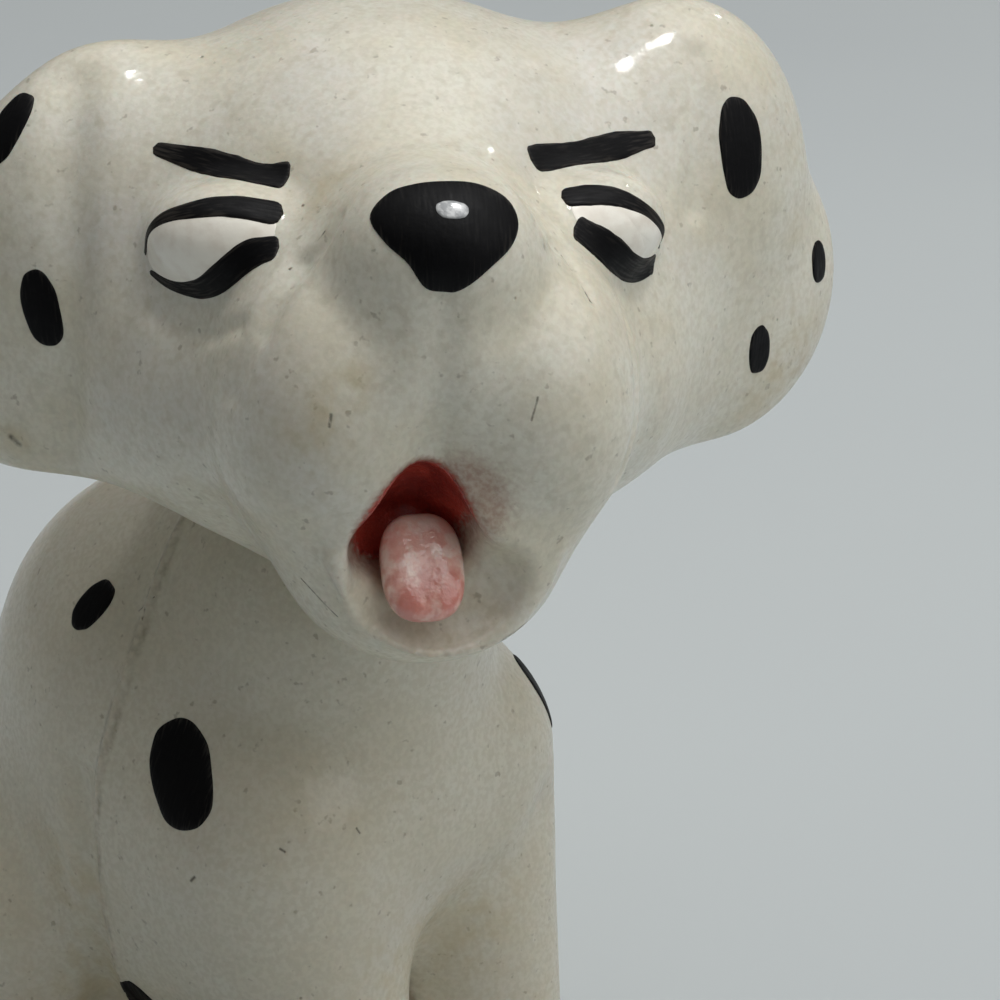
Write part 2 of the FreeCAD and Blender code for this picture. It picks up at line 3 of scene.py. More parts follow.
import bpy
import numpy as np
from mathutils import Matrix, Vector


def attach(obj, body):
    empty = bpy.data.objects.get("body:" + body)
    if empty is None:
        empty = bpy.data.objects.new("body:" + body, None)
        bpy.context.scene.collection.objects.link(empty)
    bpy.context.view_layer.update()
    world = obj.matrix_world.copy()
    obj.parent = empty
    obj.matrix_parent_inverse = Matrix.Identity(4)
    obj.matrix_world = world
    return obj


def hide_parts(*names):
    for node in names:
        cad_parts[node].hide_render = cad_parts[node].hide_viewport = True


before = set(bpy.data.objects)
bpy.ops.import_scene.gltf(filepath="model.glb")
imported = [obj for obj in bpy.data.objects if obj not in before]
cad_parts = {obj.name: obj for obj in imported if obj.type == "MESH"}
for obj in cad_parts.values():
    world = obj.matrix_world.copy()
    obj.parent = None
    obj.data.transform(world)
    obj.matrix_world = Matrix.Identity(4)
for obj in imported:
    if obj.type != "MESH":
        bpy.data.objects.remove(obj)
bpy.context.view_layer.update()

# The head: a hollow casting of glazed plaster, bonded to the neck, one soft skin over skull, muzzle, ears and
# mouth. Its masses are in millimetres in its own frame, which the turn and the place below seat there.
MM = 0.001
TINY = 1e-9
AXES = np.eye(3)


def turned(axis, degrees):
    """The matrix of a turn about X, Y or Z, for row vectors on its left."""
    c, s = cos(radians(degrees)), sin(radians(degrees))
    rows = {
        "x": [[1, 0, 0], [0, c, -s], [0, s, c]],
        "y": [[c, 0, s], [0, 1, 0], [-s, 0, c]],
        "z": [[c, -s, 0], [s, c, 0], [0, 0, 1]],
    }
    return np.array(rows[axis])


# Each row: the mass, its middle, half sizes and turn, if it is on both sides, and its blend into the rest.
SKULL_MASSES = [
    ("skull", (0, 4, 5), (22.5, 22, 19.5), None, False, 0),
    ("cheek", (13.5, -2, -4.2), (10, 15, 12.2), None, True, 6),
    ("throat", (0, -2, -11), (15, 14, 12), None, False, 5),
    ("bridge", (0, -15.5, 6.4), (8.4, 15, 7.4), None, False, 6),
    ("flew", (7, -16.6, -3.6), (9.3, 12.9, 12.8), turned("y", -8), True, 3),
    ("lip", (0, -18.5, 0.5), (7.5, 12, 8.5), None, False, 4),
    ("jaw", (0.1, -14.5, -15.6), (11.2, 12.5, 10), None, False, 4),
]
EAR_MASSES = [
    ("ear root", (22, 2, 10), (9, 6.5, 11), turned("y", -12), True, 0),
    ("ear flap", (27.2, 3, 0.2), (14.8, 5.4, 13.2), turned("z", 33), True, 7),
    ("high crown of the left ear", (25, 2.5, 13.2), (9, 6, 9.6), turned("z", 25), False, 7),
]
FACE_MASSES = [
    ("eye mound", (13.8, -13.7, 7.2), (6.4, 4.9, 4.2), turned("z", 35), True, 2),
    ("nose pad", (0, -25.4, 7.6), (6.4, 6, 4.9), None, False, 4),
]
MOUTH_MASSES = [
    ("throat opening", (-2, -24.5, -14.9), (4.9, 7, 3.6), None, False, 0),
    ("peak under the nose", (-1.6, -25.5, -12.3), (3.1, 6.5, 4.1), None, False, 2.5),
    ("dish behind the lower lip", (0.2, -27, -19.2), (8.8, 5.7, 5.3), None, False, 1.6),
]
EAR_BLEND = 7
LIP_ROUNDING = 0.9
# Folds pressed into the clay: a path over the surface, how deep it is and how wide.
FACE_FOLDS = [
    ([(-7, -24.6, 9.7), (-7.7, -24.5, 8.4), (-8.5, -24, 7.2), (-9.4, -23.7, 6.4)], 0.4, 0.5),
    ([(-9.8, -23.5, 6.2), (-11.3, -24.2, 4.3), (-12.8, -24.6, 1.8)], 0.7, 0.8),
    ([(-9.8, -23.5, 6.2), (-11.3, -24.2, 4.3), (-12.8, -24.6, 1.8), (-13.9, -24.1, -0.2),
      (-14.8, -23.2, -3)], 0.45, 1.1),
    ([(8.7, -23.9, 7.1), (9.8, -23.4, 6.3), (10.4, -24.5, 4.9), (11.1, -25.5, 3.2)], 0.4, 0.5),
    ([(15.2, -19, 2.4), (15.4, -22.4, -0.6), (15.6, -23, -4), (15.2, -23, -7.5),
      (14, -22.6, -10.5)], 0.45, 0.9),
    ([(-0.6, -31.6, 4.3), (-0.7, -30.6, 0), (-1, -29.6, -3.1), (-1.3, -27.6, -6.6)], 0.5, 1.5),
    ([(-19.7, -11.9, 1.6), (-17.7, -14.3, 0.6), (-15.4, -18.1, 0.6), (-13.7, -21.9, 1.6)], 0.35, 0.9),
    ([(-24.3, -2.1, 18.1), (-24.8, -4.6, 13.6), (-25.2, -6.4, 4.6), (-25.4, -6.3, -0.1),
      (-25.9, -2.4, -10.1)], 0.7, 2.0),
    ([(24.6, -4.2, 19.1), (24.8, -5.6, 16.1), (24, -6.8, 12.2), (23.4, -7.6, 7.6)], 0.35, 1.2),
]
# The rounded rim of the lower lip stands up a little: a fold of the other sign.
LIP_RIM = [
    (-8.2, -24.7, -15.5), (-7.4, -24.4, -18.5), (-5.6, -24, -21.4), (-2.8, -23.6, -23.2), (0.2, -23.4, -23.7),
    (3.4, -23, -23), (6, -22.4, -21.4), (8, -22, -18.6), (8.6, -22.6, -15.5),
]
LIP_RIM_HEIGHT, LIP_RIM_WIDTH = 0.6, 0.9
HEAD_PLACE = np.array([0.0, -12.4, 83.0])
HEAD_TURN = turned("z", -36) @ turned("x", -14) @ turned("y", 2)
HEAD_CORNERS = (-40.5, -32.5, -33), (40.5, 27.5, 26)
HEAD_STEP = 0.42


def egg(points, middle, half, turn=None):
    """How far points lie outside an ellipsoid, near enough. It is below zero inside."""
    local = points - np.array(middle)
    if turn is not None:
        local = local @ turn
    half = np.array(half)
    near = np.linalg.norm(local / half, axis=-1)
    steep = np.linalg.norm(local / half**2, axis=-1) + TINY
    return near * (near - 1) / steep


def limb(points, start, end, start_radius=0.0, end_radius=0.0):
    """How far points lie outside a round limb that tapers from start to end."""
    start = np.array(start, float)
    run = np.array(end) - start
    along = np.clip(((points - start) @ run) / (run @ run), 0, 1)
    off = np.linalg.norm(points - start - along[..., None] * run, axis=-1)
    return off - start_radius - (end_radius - start_radius) * along


def melt(first, second, blend):
    """The union of two forms, rounded over the blend where they meet."""
    overlap = np.clip(blend - np.abs(first - second), 0, None) / max(blend, TINY)
    return np.minimum(first, second) - overlap**2 * blend / 4


def carve(form, tool, blend):
    """A form with another taken out of it, its rim rounded over the blend."""
    return -melt(-form, tool, blend)


def both_sides(points):
    """The points with X as the distance from the middle plane, so that one mass serves two sides."""
    return np.abs(points) * AXES[0] + points * (1 - AXES[0])


def melted(masses, points):
    """The masses of a table as one form."""
    pair = both_sides(points)
    form = None
    for _, middle, half, turn, paired, blend in masses:
        near = egg(pair if paired else points, middle, half, turn)
        form = near if form is None else melt(form, near, blend)
    return form


def from_path(points, path):
    """The distance of points from a path of straight runs."""
    runs = [limb(points, start, end) for start, end in zip(path, path[1:])]
    return np.minimum.reduce(runs)


def folded(form, points, folds):
    """The form with soft grooves along paths."""
    for path, depth, width in folds:
        form = form + depth * np.exp(-((from_path(points, path) / width) ** 2))
    return form


def solid_head(points):
    """The head without its mouth."""
    form = melt(melted(SKULL_MASSES, points), melted(EAR_MASSES, points), EAR_BLEND)
    for mass in FACE_MASSES:
        form = melt(form, melted([mass], points), mass[-1])
    return form


def head_form(points):
    """The head in its own frame."""
    form = carve(solid_head(points), melted(MOUTH_MASSES, points), LIP_ROUNDING)
    return folded(form, points, [*FACE_FOLDS, (LIP_RIM, -LIP_RIM_HEIGHT, LIP_RIM_WIDTH)])


def slope(form, points):
    """The form's value and its gradient at points."""
    step = 0.02
    value = form(points)
    sides = [form(points + step * axis) - form(points - step * axis) for axis in AXES]
    return value, np.stack(sides, -1) / (2 * step)


def settled(form, points, steps=4):
    """Points moved along the gradient on to the form's surface, and the unit normals there."""
    least_square = 0.05
    for _ in range(steps):
        value, gradient = slope(form, points)
        square = np.maximum((gradient**2).sum(-1), least_square)
        points = points - gradient * (value / square)[..., None]
    _, gradient = slope(form, points)
    return points, gradient / np.linalg.norm(gradient, axis=-1, keepdims=True)


def sampled(form, low, step, counts):
    """The form's values on a grid. They are worked out only near the surface: farther off, where just the
    sign matters, a block of points takes the value at its middle."""
    block = 4
    safety = 2.0
    grid = np.indices(-(-counts // block)).transpose(1, 2, 3, 0)
    middles = low + step * block * (grid + (block - 1) / (2 * block))
    values = form(middles)
    for axis in range(3):
        values = np.repeat(values, block, axis)
    values = values[: counts[0], : counts[1], : counts[2]]
    near = np.argwhere(np.abs(values) < safety * step * block)
    values[tuple(near.T)] = form(low + step * near)
    return values


def crossings(values):
    """For every cell of the grid, the sum of the places in it of the edge points where the form changes
    sign, and how many edges those are."""
    shape = tuple(np.array(values.shape) - 1)
    total, count = np.zeros(shape + (3,)), np.zeros(shape)
    sides = slice(None, -1), slice(1, None)
    for axis in range(3):
        across, up = (axis + 1) % 3, (axis + 2) % 3
        for i, j in ((0, 0), (0, 1), (1, 0), (1, 1)):
            ends = []
            for side in sides:
                corner = [None] * 3
                corner[axis], corner[across], corner[up] = side, sides[i], sides[j]
                ends.append(values[tuple(corner)])
            crossed = (ends[0] < 0) != (ends[1] < 0)
            rise = np.where(crossed, ends[0] - ends[1], 1)
            total[..., axis] += np.where(crossed, ends[0] / rise, 0)
            total[..., across] += i * crossed
            total[..., up] += j * crossed
            count += crossed
    return total, count


def skin(form, low, high, step):
    """The form's surface as (points, normals, four-cornered faces): one vertex in each cell of a grid that
    the surface passes through, joined round every grid edge that it crosses, then settled on the surface.
    Melted masses have folds, ears and a mouth that no single two-parameter grid covers, so this takes its
    place."""
    low = np.array(low, float)
    counts = np.ceil((np.array(high) - low) / step).astype(int) + 1
    values = sampled(form, low, step, counts)
    total, count = crossings(values)
    filled = count > 0
    number = np.full(filled.shape, -1)
    number[filled] = np.arange(filled.sum())
    points = low + step * (np.argwhere(filled) + total[filled] / count[filled][:, None])
    inside = values < 0
    faces = []
    for axis in range(3):
        across, up = AXES.astype(int)[(axis + 1) % 3], AXES.astype(int)[(axis + 2) % 3]
        lower, upper = [slice(1, -1)] * 3, [slice(1, -1)] * 3
        lower[axis], upper[axis] = slice(0, -1), slice(1, None)
        first, second = inside[tuple(lower)], inside[tuple(upper)]
        for crossed, order in ((first & ~second, 1), (second & ~first, -1)):
            edge = np.argwhere(crossed) + across + up
            ring = (edge - across - up, edge - up, edge, edge - across)
            faces.append(np.stack([number[tuple(cell.T)] for cell in ring[::order]], 1))
    points, normals = settled(form, points)
    return points, normals, np.concatenate(faces)


def seated(points):
    """Points of the head's own frame in the row's frame."""
    return points @ HEAD_TURN.T + HEAD_PLACE


def unseated(points):
    """Points of the row's frame in the head's own frame."""
    return (points - HEAD_PLACE) @ HEAD_TURN


def hollowness(form, points, normals, reach):
    """How deep in a fold points lie: zero on open surface, nearing one where the form closes over them."""
    return np.clip(1 - form(points + normals * reach) / reach, 0, 1)


def add_piece(name, points, faces, material, node, shades=None):
    """A smooth piece in the row's frame that stands for a node of the CAD model. Points are in millimetres,
    and shades are values per vertex that its material reads."""
    mesh = bpy.data.meshes.new(name)
    mesh.from_pydata((np.asarray(points) * MM).tolist(), [], [list(map(int, face)) for face in faces])
    mesh.polygons.foreach_set("use_smooth", np.ones(len(mesh.polygons), bool))
    for shade, values in (shades or {}).items():
        layer = mesh.attributes.new(shade, "FLOAT", "POINT")
        layer.data.foreach_set("value", np.asarray(values, np.float32))
    mesh.materials.append(material)
    piece = bpy.data.objects.new(name, mesh)
    bpy.context.scene.collection.objects.link(piece)
    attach(piece, "root")
    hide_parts(node)
    return piece


class Graph:
    """Adds nodes to a tree. What an input is given is a value or another node's output."""

    def __init__(self, tree):
        self.tree = tree

    def node(self, kind, inputs, output=0, **settings):
        made = self.tree.nodes.new(kind)
        for setting, value in settings.items():
            setattr(made, setting, value)
        for socket, value in inputs.items():
            self.feed(made.inputs[socket], value)
        return made.outputs[output]

    def feed(self, socket, value):
        if isinstance(value, bpy.types.NodeSocket):
            self.tree.links.new(value, socket)
        else:
            socket.default_value = value

    def shade(self, name):
        """A value per vertex."""
        return self.node("ShaderNodeAttribute", {}, "Fac", attribute_name=name)

    def place(self):
        return self.node("ShaderNodeTexCoord", {}, "Object")

    def noise(self, size, place=None, detail=3.0, **inputs):
        """Soft noise whose lumps are of a size in metres, about 0 to 1."""
        scale = 1 / size if isinstance(size, float) else self.sum("DIVIDE", 1.0, size)
        inputs = {"Vector": place or self.place(), "Scale": scale, "Detail": detail, **inputs}
        return self.node("ShaderNodeTexNoise", inputs)

    def cells(self, size, place, output, **settings):
        """Cells of a size in metres."""
        scale = self.sum("DIVIDE", 1.0, size)
        return self.node("ShaderNodeTexVoronoi", {"Vector": place, "Scale": scale}, output, **settings)

    def group(self, tree, inputs):
        """The outputs of a node group that is placed here with its own values."""
        placed = self.tree.nodes.new("ShaderNodeGroup")
        placed.node_tree = tree
        for socket, value in inputs.items():
            self.feed(placed.inputs[socket], value)
        return tuple(placed.outputs)

    def sum(self, operation, first, second=0.0):
        return self.node("ShaderNodeMath", {0: first, 1: second}, operation=operation)

    def vector(self, operation, first, second, output=0):
        return self.node("ShaderNodeVectorMath", {0: first, 1: second}, output, operation=operation)

    def span(self, value, low, high, start=0.0, end=1.0):
        """A value brought from between low and high to between start and end, and no farther."""
        inputs = {"Value": value, "From Min": low, "From Max": high, "To Min": start, "To Max": end}
        return self.node("ShaderNodeMapRange", inputs, interpolation_type="SMOOTHSTEP")

    def mix(self, share, first, second):
        """A colour between two."""
        return self.node("ShaderNodeMix", {0: share, 6: first, 7: second}, 2, data_type="RGBA")

    def layered(self, tone, layers):
        """A colour with others laid over it in turn, each where its mask is high."""
        for mask, over in layers:
            tone = self.mix(mask, tone, over)
        return tone

    def bump(self, height, depth, strength=1.0, normal=None):
        """A normal from a height of 0 to 1 that stands for a depth in metres."""
        inputs = {"Height": height, "Distance": depth, "Strength": strength}
        if normal is not None:
            inputs["Normal"] = normal
        return self.node("ShaderNodeBump", inputs)


def group(name, inputs, outputs):
    """An empty node group with named inputs, which are values or vectors, and named value outputs: the group,
    its graph, and the sockets that are given to it and wanted from it."""
    tree = bpy.data.node_groups.new(name, "ShaderNodeTree")
    for label, value in inputs.items():
        kind = "NodeSocketVector" if isinstance(value, tuple) else "NodeSocketFloat"
        socket = tree.interface.new_socket(label, in_out="INPUT", socket_type=kind)
        socket.default_value = value
    for label in outputs:
        tree.interface.new_socket(label, in_out="OUTPUT", socket_type="NodeSocketFloat")
    given = tree.nodes.new("NodeGroupInput").outputs
    wanted = tree.nodes.new("NodeGroupOutput").inputs
    return tree, Graph(tree), given, wanted


def mottle_group():
    """Uneven tone: broad clouds and fine grain."""
    sizes = {"Cloud size": 0.008, "Grain size": 0.0005}
    tree, graph, given, wanted = group("mottle", sizes, ("Clouds", "Grain"))
    clouds = graph.noise(given["Cloud size"], detail=4.0)
    grain = graph.noise(given["Grain size"], detail=2.0)
    graph.feed(wanted["Clouds"], graph.span(clouds, 0.36, 0.66))
    graph.feed(wanted["Grain"], graph.span(grain, 0.3, 0.7))
    return tree


def pinhole_group():
    """Pinholes: a small round dot in a few of the cells, with a softer edge than the hole itself."""
    sizes = {"Spacing": 0.003, "Radius": 0.0002, "Share": 0.3}
    tree, graph, given, wanted = group("pinholes", sizes, ("Mask",))
    place = graph.place()
    away = graph.cells(given["Spacing"], place, "Distance")
    chance = graph.cells(given["Spacing"], place, "Color")
    chance = graph.node("ShaderNodeSeparateColor", {"Color": chance}, "Red")
    away = graph.sum("MULTIPLY", away, given["Spacing"])
    dot = graph.span(away, given["Radius"], 0.0)
    graph.feed(wanted["Mask"], graph.sum("MULTIPLY", dot, graph.sum("LESS_THAN", chance, given["Share"])))
    return tree


def crackle_group():
    """Hairline cracks: the edges between cells, wavy, and broken off where a broad noise is low."""
    sizes = {"Cell size": 0.004, "Line width": 0.00005, "Wave": 0.0012}
    wave_length, patch_size = 0.002, 0.012
    tree, graph, given, wanted = group("crackle", sizes, ("Mask",))
    place = graph.place()
    wave = graph.node("ShaderNodeTexNoise", {"Vector": place, "Scale": 1 / wave_length}, "Color")
    wave = graph.node("ShaderNodeVectorMath", {0: wave, "Scale": given["Wave"]}, operation="SCALE")
    place = graph.node("ShaderNodeVectorMath", {0: place, 1: wave}, operation="ADD")
    edge = graph.cells(given["Cell size"], place, "Distance", feature="DISTANCE_TO_EDGE")
    edge = graph.sum("MULTIPLY", edge, given["Cell size"])
    line = graph.span(edge, given["Line width"], 0.0)
    kept = graph.span(graph.noise(patch_size), 0.45, 0.6)
    graph.feed(wanted["Mask"], graph.sum("MULTIPLY", line, kept))
    return tree


def airbrush_group():
    """Sprayed colour: full where its strength is high, a thin speckled haze where it is low."""
    inputs = {"Strength": 0.0, "Speckle size": 0.0004}
    tree, graph, given, wanted = group("airbrush", inputs, ("Haze", "Full"))
    speckle = graph.span(graph.noise(given["Speckle size"]), 0.3, 0.7, -0.08, 0.08)
    strength = graph.sum("ADD", given["Strength"], speckle)
    graph.feed(wanted["Haze"], graph.span(strength, 0.04, 0.75, 0.0, 0.9))
    graph.feed(wanted["Full"], graph.span(strength, 0.5, 0.8))
    return tree


def scratch_group():
    """A mark along the straight run from a start to an end: full on it, and gone at its half width."""
    ends = {"Start": (0.0, 0.0, 0.0), "End": (0.0, 0.0, 0.001), "Half width": 0.0001}
    tree, graph, given, wanted = group("scratch", ends, ("Mask",))
    run = graph.vector("SUBTRACT", given["End"], given["Start"])
    from_start = graph.vector("SUBTRACT", graph.place(), given["Start"])
    along = graph.vector("DOT_PRODUCT", from_start, run, output="Value")
    share = graph.sum("DIVIDE", along, graph.vector("DOT_PRODUCT", run, run, output="Value"))
    share = graph.node("ShaderNodeClamp", {"Value": share})
    nearest = graph.node("ShaderNodeVectorMath", {0: run, "Scale": share}, operation="SCALE")
    off = graph.vector("DISTANCE", from_start, nearest, output="Value")
    graph.feed(wanted["Mask"], graph.span(off, given["Half width"], 0.0))
    return tree


MOTTLE = mottle_group()
AIRBRUSH = airbrush_group()
SCRATCH = scratch_group()
PINHOLES = pinhole_group()
CRACKLE = crackle_group()


def colour(red, green, blue):
    """A colour picked on screen, 0 to 255, as a linear one."""
    shares = np.array([red, green, blue]) / 255
    linear = np.where(shares < 0.04045, shares / 12.92, ((shares + 0.055) / 1.055) ** 2.4)
    return (*(float(value) for value in linear), 1.0)


def painted(name, **constants):
    """A new material, its graph, and the inputs of its shader, on which the constants are set."""
    material = bpy.data.materials.new(name)
    material.use_nodes = True
    shader = material.node_tree.nodes["Principled BSDF"]
    for socket, value in constants.items():
        shader.inputs[socket.replace("_", " ")].default_value = value
    return material, Graph(material.node_tree), shader.inputs


CREAM, WARM_CREAM, COOL_CREAM = colour(220, 217, 202), colour(213, 207, 186), colour(210, 208, 202)
# The dusty cream is also painted shade on the body.
DUSTY_AND_SHADED_CREAM, SCRATCHED = colour(192, 186, 167), colour(92, 86, 74)
GRIME_AND_SHADE, STAIN, BARE_PLASTER = colour(104, 90, 66), colour(190, 172, 128), colour(214, 206, 190)
MOUTH_RED, MOUTH_HAZE = colour(186, 70, 56), colour(150, 108, 92)
GLAZE = {"Coat_Roughness": 0.1, "Coat_IOR": 1.5, "Subsurface_Weight": 0.15, "Subsurface_Scale": 0.0012}
GLAZE_PINHOLES = {"Spacing": 0.0032, "Radius": 0.00022, "Share": 0.12}
GLAZE_CRACKS = {"Cell size": 0.009, "Line width": 0.00006}
# How large the patches, flecks, specks and swells of the glaze are, and how deep its relief is, in metres.
COOL_PATCH, STAIN_BLOTCH, SHADE_AND_SOIL_BLOTCH, WEAR_GAP = 0.015, 0.0022, 0.002, 0.0005
FLECK, SPECK = 0.0011, 0.0009
SWELL, SWELL_DEPTH, PORE, PORE_DEPTH = 0.0035, 0.00012, 0.0008, 0.00006


def sprayed(graph):
    """The masks of the airbrushed red, from the strength that the mesh carries."""
    return graph.group(AIRBRUSH, {"Strength": graph.shade("rouge")})


def aged(graph, dust_and_shade, clouds, grain, holes, cracks):
    """The colour of the glazed cream with its age: mottled, dusty, flecked, stained yellow, and dark in the
    folds, pinholes and cracks. The dark in the folds and the body's high dust share are partly painted shade."""
    blotch = graph.span(graph.noise(STAIN_BLOTCH, detail=5.0), 0.35, 0.65, 0.1, 0.8)
    uneven = graph.span(graph.noise(SHADE_AND_SOIL_BLOTCH), 0.3, 0.7, 0.55, 1.0)
    fold_shade_and_soil = graph.sum("MULTIPLY", graph.shade("fold"), uneven)
    layers = [
        (graph.span(graph.noise(COOL_PATCH), 0.45, 0.75, 0.0, 0.7), COOL_CREAM),
        # Dust on the grain. The body's high share of it is partly painted shade.
        (graph.span(grain, 0.0, 1.0, dust_and_shade, dust_and_shade + 0.3), DUSTY_AND_SHADED_CREAM),
        (graph.span(graph.noise(FLECK, detail=4.0), 0.5, 0.72, 0.0, 0.5), DUSTY_AND_SHADED_CREAM),
        (graph.span(graph.noise(SPECK, detail=2.0), 0.66, 0.76, 0.0, 0.4), GRIME_AND_SHADE),
        (graph.sum("MULTIPLY", graph.shade("stain"), blotch), STAIN),
        # The folds: dirt, and painted shade where shade falls in them.
        (graph.span(fold_shade_and_soil, 0.25, 1.0, 0.0, 0.8), GRIME_AND_SHADE),
        (graph.sum("MULTIPLY", cracks, 0.04), GRIME_AND_SHADE),
        (graph.sum("MULTIPLY", holes, 0.7), GRIME_AND_SHADE),
    ]
    return graph.layered(graph.mix(clouds, CREAM, WARM_CREAM), layers)


def scratch_mask(graph, marks):
    """The mask of the scratches and chips, broken up along them."""
    worn = 0.0
    for start, end, half_width in marks:
        (mark,) = graph.group(SCRATCH, {"Start": start, "End": end, "Half width": half_width})
        worn = graph.sum("MAXIMUM", worn, mark)
    return graph.sum("MULTIPLY", worn, graph.span(graph.noise(WEAR_GAP), 0.3, 0.6, 0.35, 0.9))


def glazed_plaster(name, dust_and_shade, marks):
    """Cream plaster under a clear glaze: aged, with painted shade in its folds, airbrushed red round the
    mouth, scratched, and bare on the base, with pinholes and soft swells in its surface."""
    material, graph, shader = painted(name, **GLAZE)
    clouds, grain = graph.group(MOTTLE, {})
    (holes,) = graph.group(PINHOLES, GLAZE_PINHOLES)
    (cracks,) = graph.group(CRACKLE, GLAZE_CRACKS)
    haze, full = sprayed(graph)
    worn = scratch_mask(graph, marks)
    bare = graph.shade("bare")
    tone = aged(graph, dust_and_shade, clouds, grain, holes, cracks)
    over = [(haze, MOUTH_HAZE), (full, MOUTH_RED), (worn, SCRATCHED), (bare, BARE_PLASTER)]
    graph.feed(shader["Base Color"], graph.layered(tone, over))
    graph.feed(shader["Roughness"], graph.span(graph.sum("ADD", grain, bare), 0.0, 2.0, 0.42, 0.8))
    glaze = graph.sum("SUBTRACT", 1.0, graph.sum("MAXIMUM", worn, bare))
    graph.feed(shader["Coat Weight"], graph.sum("MULTIPLY", glaze, 0.45))

    pits = graph.sum("MAXIMUM", graph.sum("MULTIPLY", holes, 1.5), worn)
    height = graph.sum("SUBTRACT", graph.noise(SWELL), pits)
    pores = graph.bump(graph.noise(PORE), PORE_DEPTH, 0.6)
    graph.feed(shader["Normal"], graph.bump(height, SWELL_DEPTH, 0.7, pores))
    graph.feed(shader["Coat Normal"], graph.bump(height, SWELL_DEPTH, 0.7))
    return material


# Where the glaze is stained yellow or brown: a place on the head, how far it reaches and how strong it is.
HEAD_STAINS = [
    ((-7.6, -18.5, 10.9), 2.6, 0.5), ((32.7, 0.9, 11), 2.2, 0.45), ((33.5, 0.5, 4.9), 1.8, 0.5),
    ((20.2, -2.1, 19.1), 3, 0.3), ((-6.7, -29.4, -1.2), 2, 0.4), ((-8.4, -29.4, -4), 2.4, 0.35),
    ((-30.2, 0.2, -10.3), 1.4, 1), ((32.3, 1.4, -9.3), 4, 0.5), ((35.3, 3.2, -6.3), 3.5, 0.5),
    ((-10.5, -28.4, -5.9), 3, 0.3), ((20, 20, -8), 6, 0.4), ((-22, 14, 0), 5, 0.4), ((0, -25, -20.5), 5, 0.4),
]
# The airbrushed red: inside the mouth, and thinner over its edge on the puppy's left.
ROUGE_MASSES = [
    ("in the mouth", (-2, -24.5, -14.2), (4.7, 9, 4.9), None, False, 0),
    ("under the peak", (-1.6, -25.5, -11.6), (3, 8, 3.7), None, False, 2),
]
ROUGE_HAZE = (1.6, -26, -11.2), (2.6, 3, 2.8)
ROUGE_EDGE, ROUGE_HAZE_REACH, ROUGE_HAZE_SHARE = 1.3, 3.4, 0.45
ROUGE_BOTTOM, ROUGE_BOTTOM_FADE = -17.6, 1.6
FOLD_SHADE_REACH = 2.0


def rouge(points):
    """How much red a place takes: one inside the sprayed masses, falling to zero outside them, and a haze
    that reaches farther on the puppy's left."""
    deep = np.clip(0.5 - melted(ROUGE_MASSES, points) / ROUGE_EDGE, 0, 1)
    haze = ROUGE_HAZE_SHARE * np.clip(1 - egg(points, *ROUGE_HAZE) / ROUGE_HAZE_REACH, 0, 1) ** 2
    above = np.clip((points[:, 2] - ROUGE_BOTTOM) / ROUGE_BOTTOM_FADE, 0, 1)
    return np.maximum(deep, haze) * above


def stained(points, stains):
    """The sum of the stains that reach a place."""
    total = 0
    for place, size, strength in stains:
        away = np.linalg.norm(points - place, axis=-1)
        total = total + strength * np.exp(-((away / size) ** 2))
    return np.clip(total, 0, 1)


# Scratches and the chip on the lower lip: start, end and half width, in the head's frame.
HEAD_MARKS = [
    ((-10.3, -20.8, -17.8), (-7.9, -22.1, -20.6), 0.13), ((-7.9, -23.5, 8.5), (-10.3, -23.3, 6), 0.14),
    ((9.6, -23.5, 6.4), (11.2, -25.4, 2.9), 0.1), ((4.8, -22.7, -22.4), (6.3, -22.3, -21.5), 0.42),
    ((6.4, -27.9, -3.2), (6.2, -27.4, -4.6), 0.14), ((-8.5, -29, -3.8), (-8.6, -28.9, -4.6), 0.2),
    ((-30.2, 0.2, -9.8), (-29.6, 0.2, -10.4), 0.45),
]


def laid_marks(form, marks, place):
    """The marks with their ends brought on to a form, in the row's frame, in metres."""
    laid = []
    for start, end, half_width in marks:
        ends, _ = settled(form, np.array([start, end], float), 8)
        laid.append((*(tuple(map(float, spot)) for spot in place(ends) * MM), half_width * MM))
    return laid


head_glaze = glazed_plaster("head_glaze", 0.0, laid_marks(head_form, HEAD_MARKS, seated))
head_points, head_normals, head_faces = skin(head_form, *HEAD_CORNERS, HEAD_STEP)
# Folds are darkened by dirt and by painted shade, but the mouth was wiped clean, so it takes only a little
# share of it.
MOUTH_FOLD_REACH, MOUTH_FOLD_SHARE = 1.5, 0.1
fold_darkening_share = np.clip(melted(MOUTH_MASSES, head_points) / MOUTH_FOLD_REACH, MOUTH_FOLD_SHARE, 1)
head_shades = {
    # Painted shade and dirt in the folds.
    "fold": fold_darkening_share * hollowness(head_form, head_points, head_normals, FOLD_SHADE_REACH),
    "stain": stained(head_points, HEAD_STAINS),
    "rouge": rouge(head_points),
}
add_piece(
    "head", seated(head_points), head_faces, head_glaze, "head_casting", head_shades
)

# The body: a second hollow casting of the same glazed plaster, sitting, with a ridge down each side where the
# two halves of its mould met, and a hole in the flat base through which the slurry was poured out.
BODY_MASSES = [
    ("chest", (0, 8, 40), (19.5, 23, 21.8), None, False, 0),
    ("brisket", (0, -5, 36), (15.5, 14, 19), None, False, 6),
    ("neck", (1.5, -5.5, 57), (13, 13, 12), None, False, 8),
    ("rump", (0, 21, 20), (21, 25, 22), None, False, 8),
    ("thigh", (16.5, 25.5, 16), (11, 16.5, 15.5), turned("x", -12), True, 4),
    ("belly", (0, 2, 6), (12.5, 20, 14), None, False, 4),
    ("shoulder", (11, -1, 30), (9.5, 14, 15), None, True, 6),
]
PAW_MASSES = [
    ("forepaw", (9, -20.5, 5), (7.4, 10, 5.8), None, True, 3),
    ("hind paw", (19, 4, 4.8), (6.8, 13, 5.2), turned("z", -6), True, 3),
]
FORELEG = (10, -8, 36), (8.8, -15, 6), 10.2, 7.0
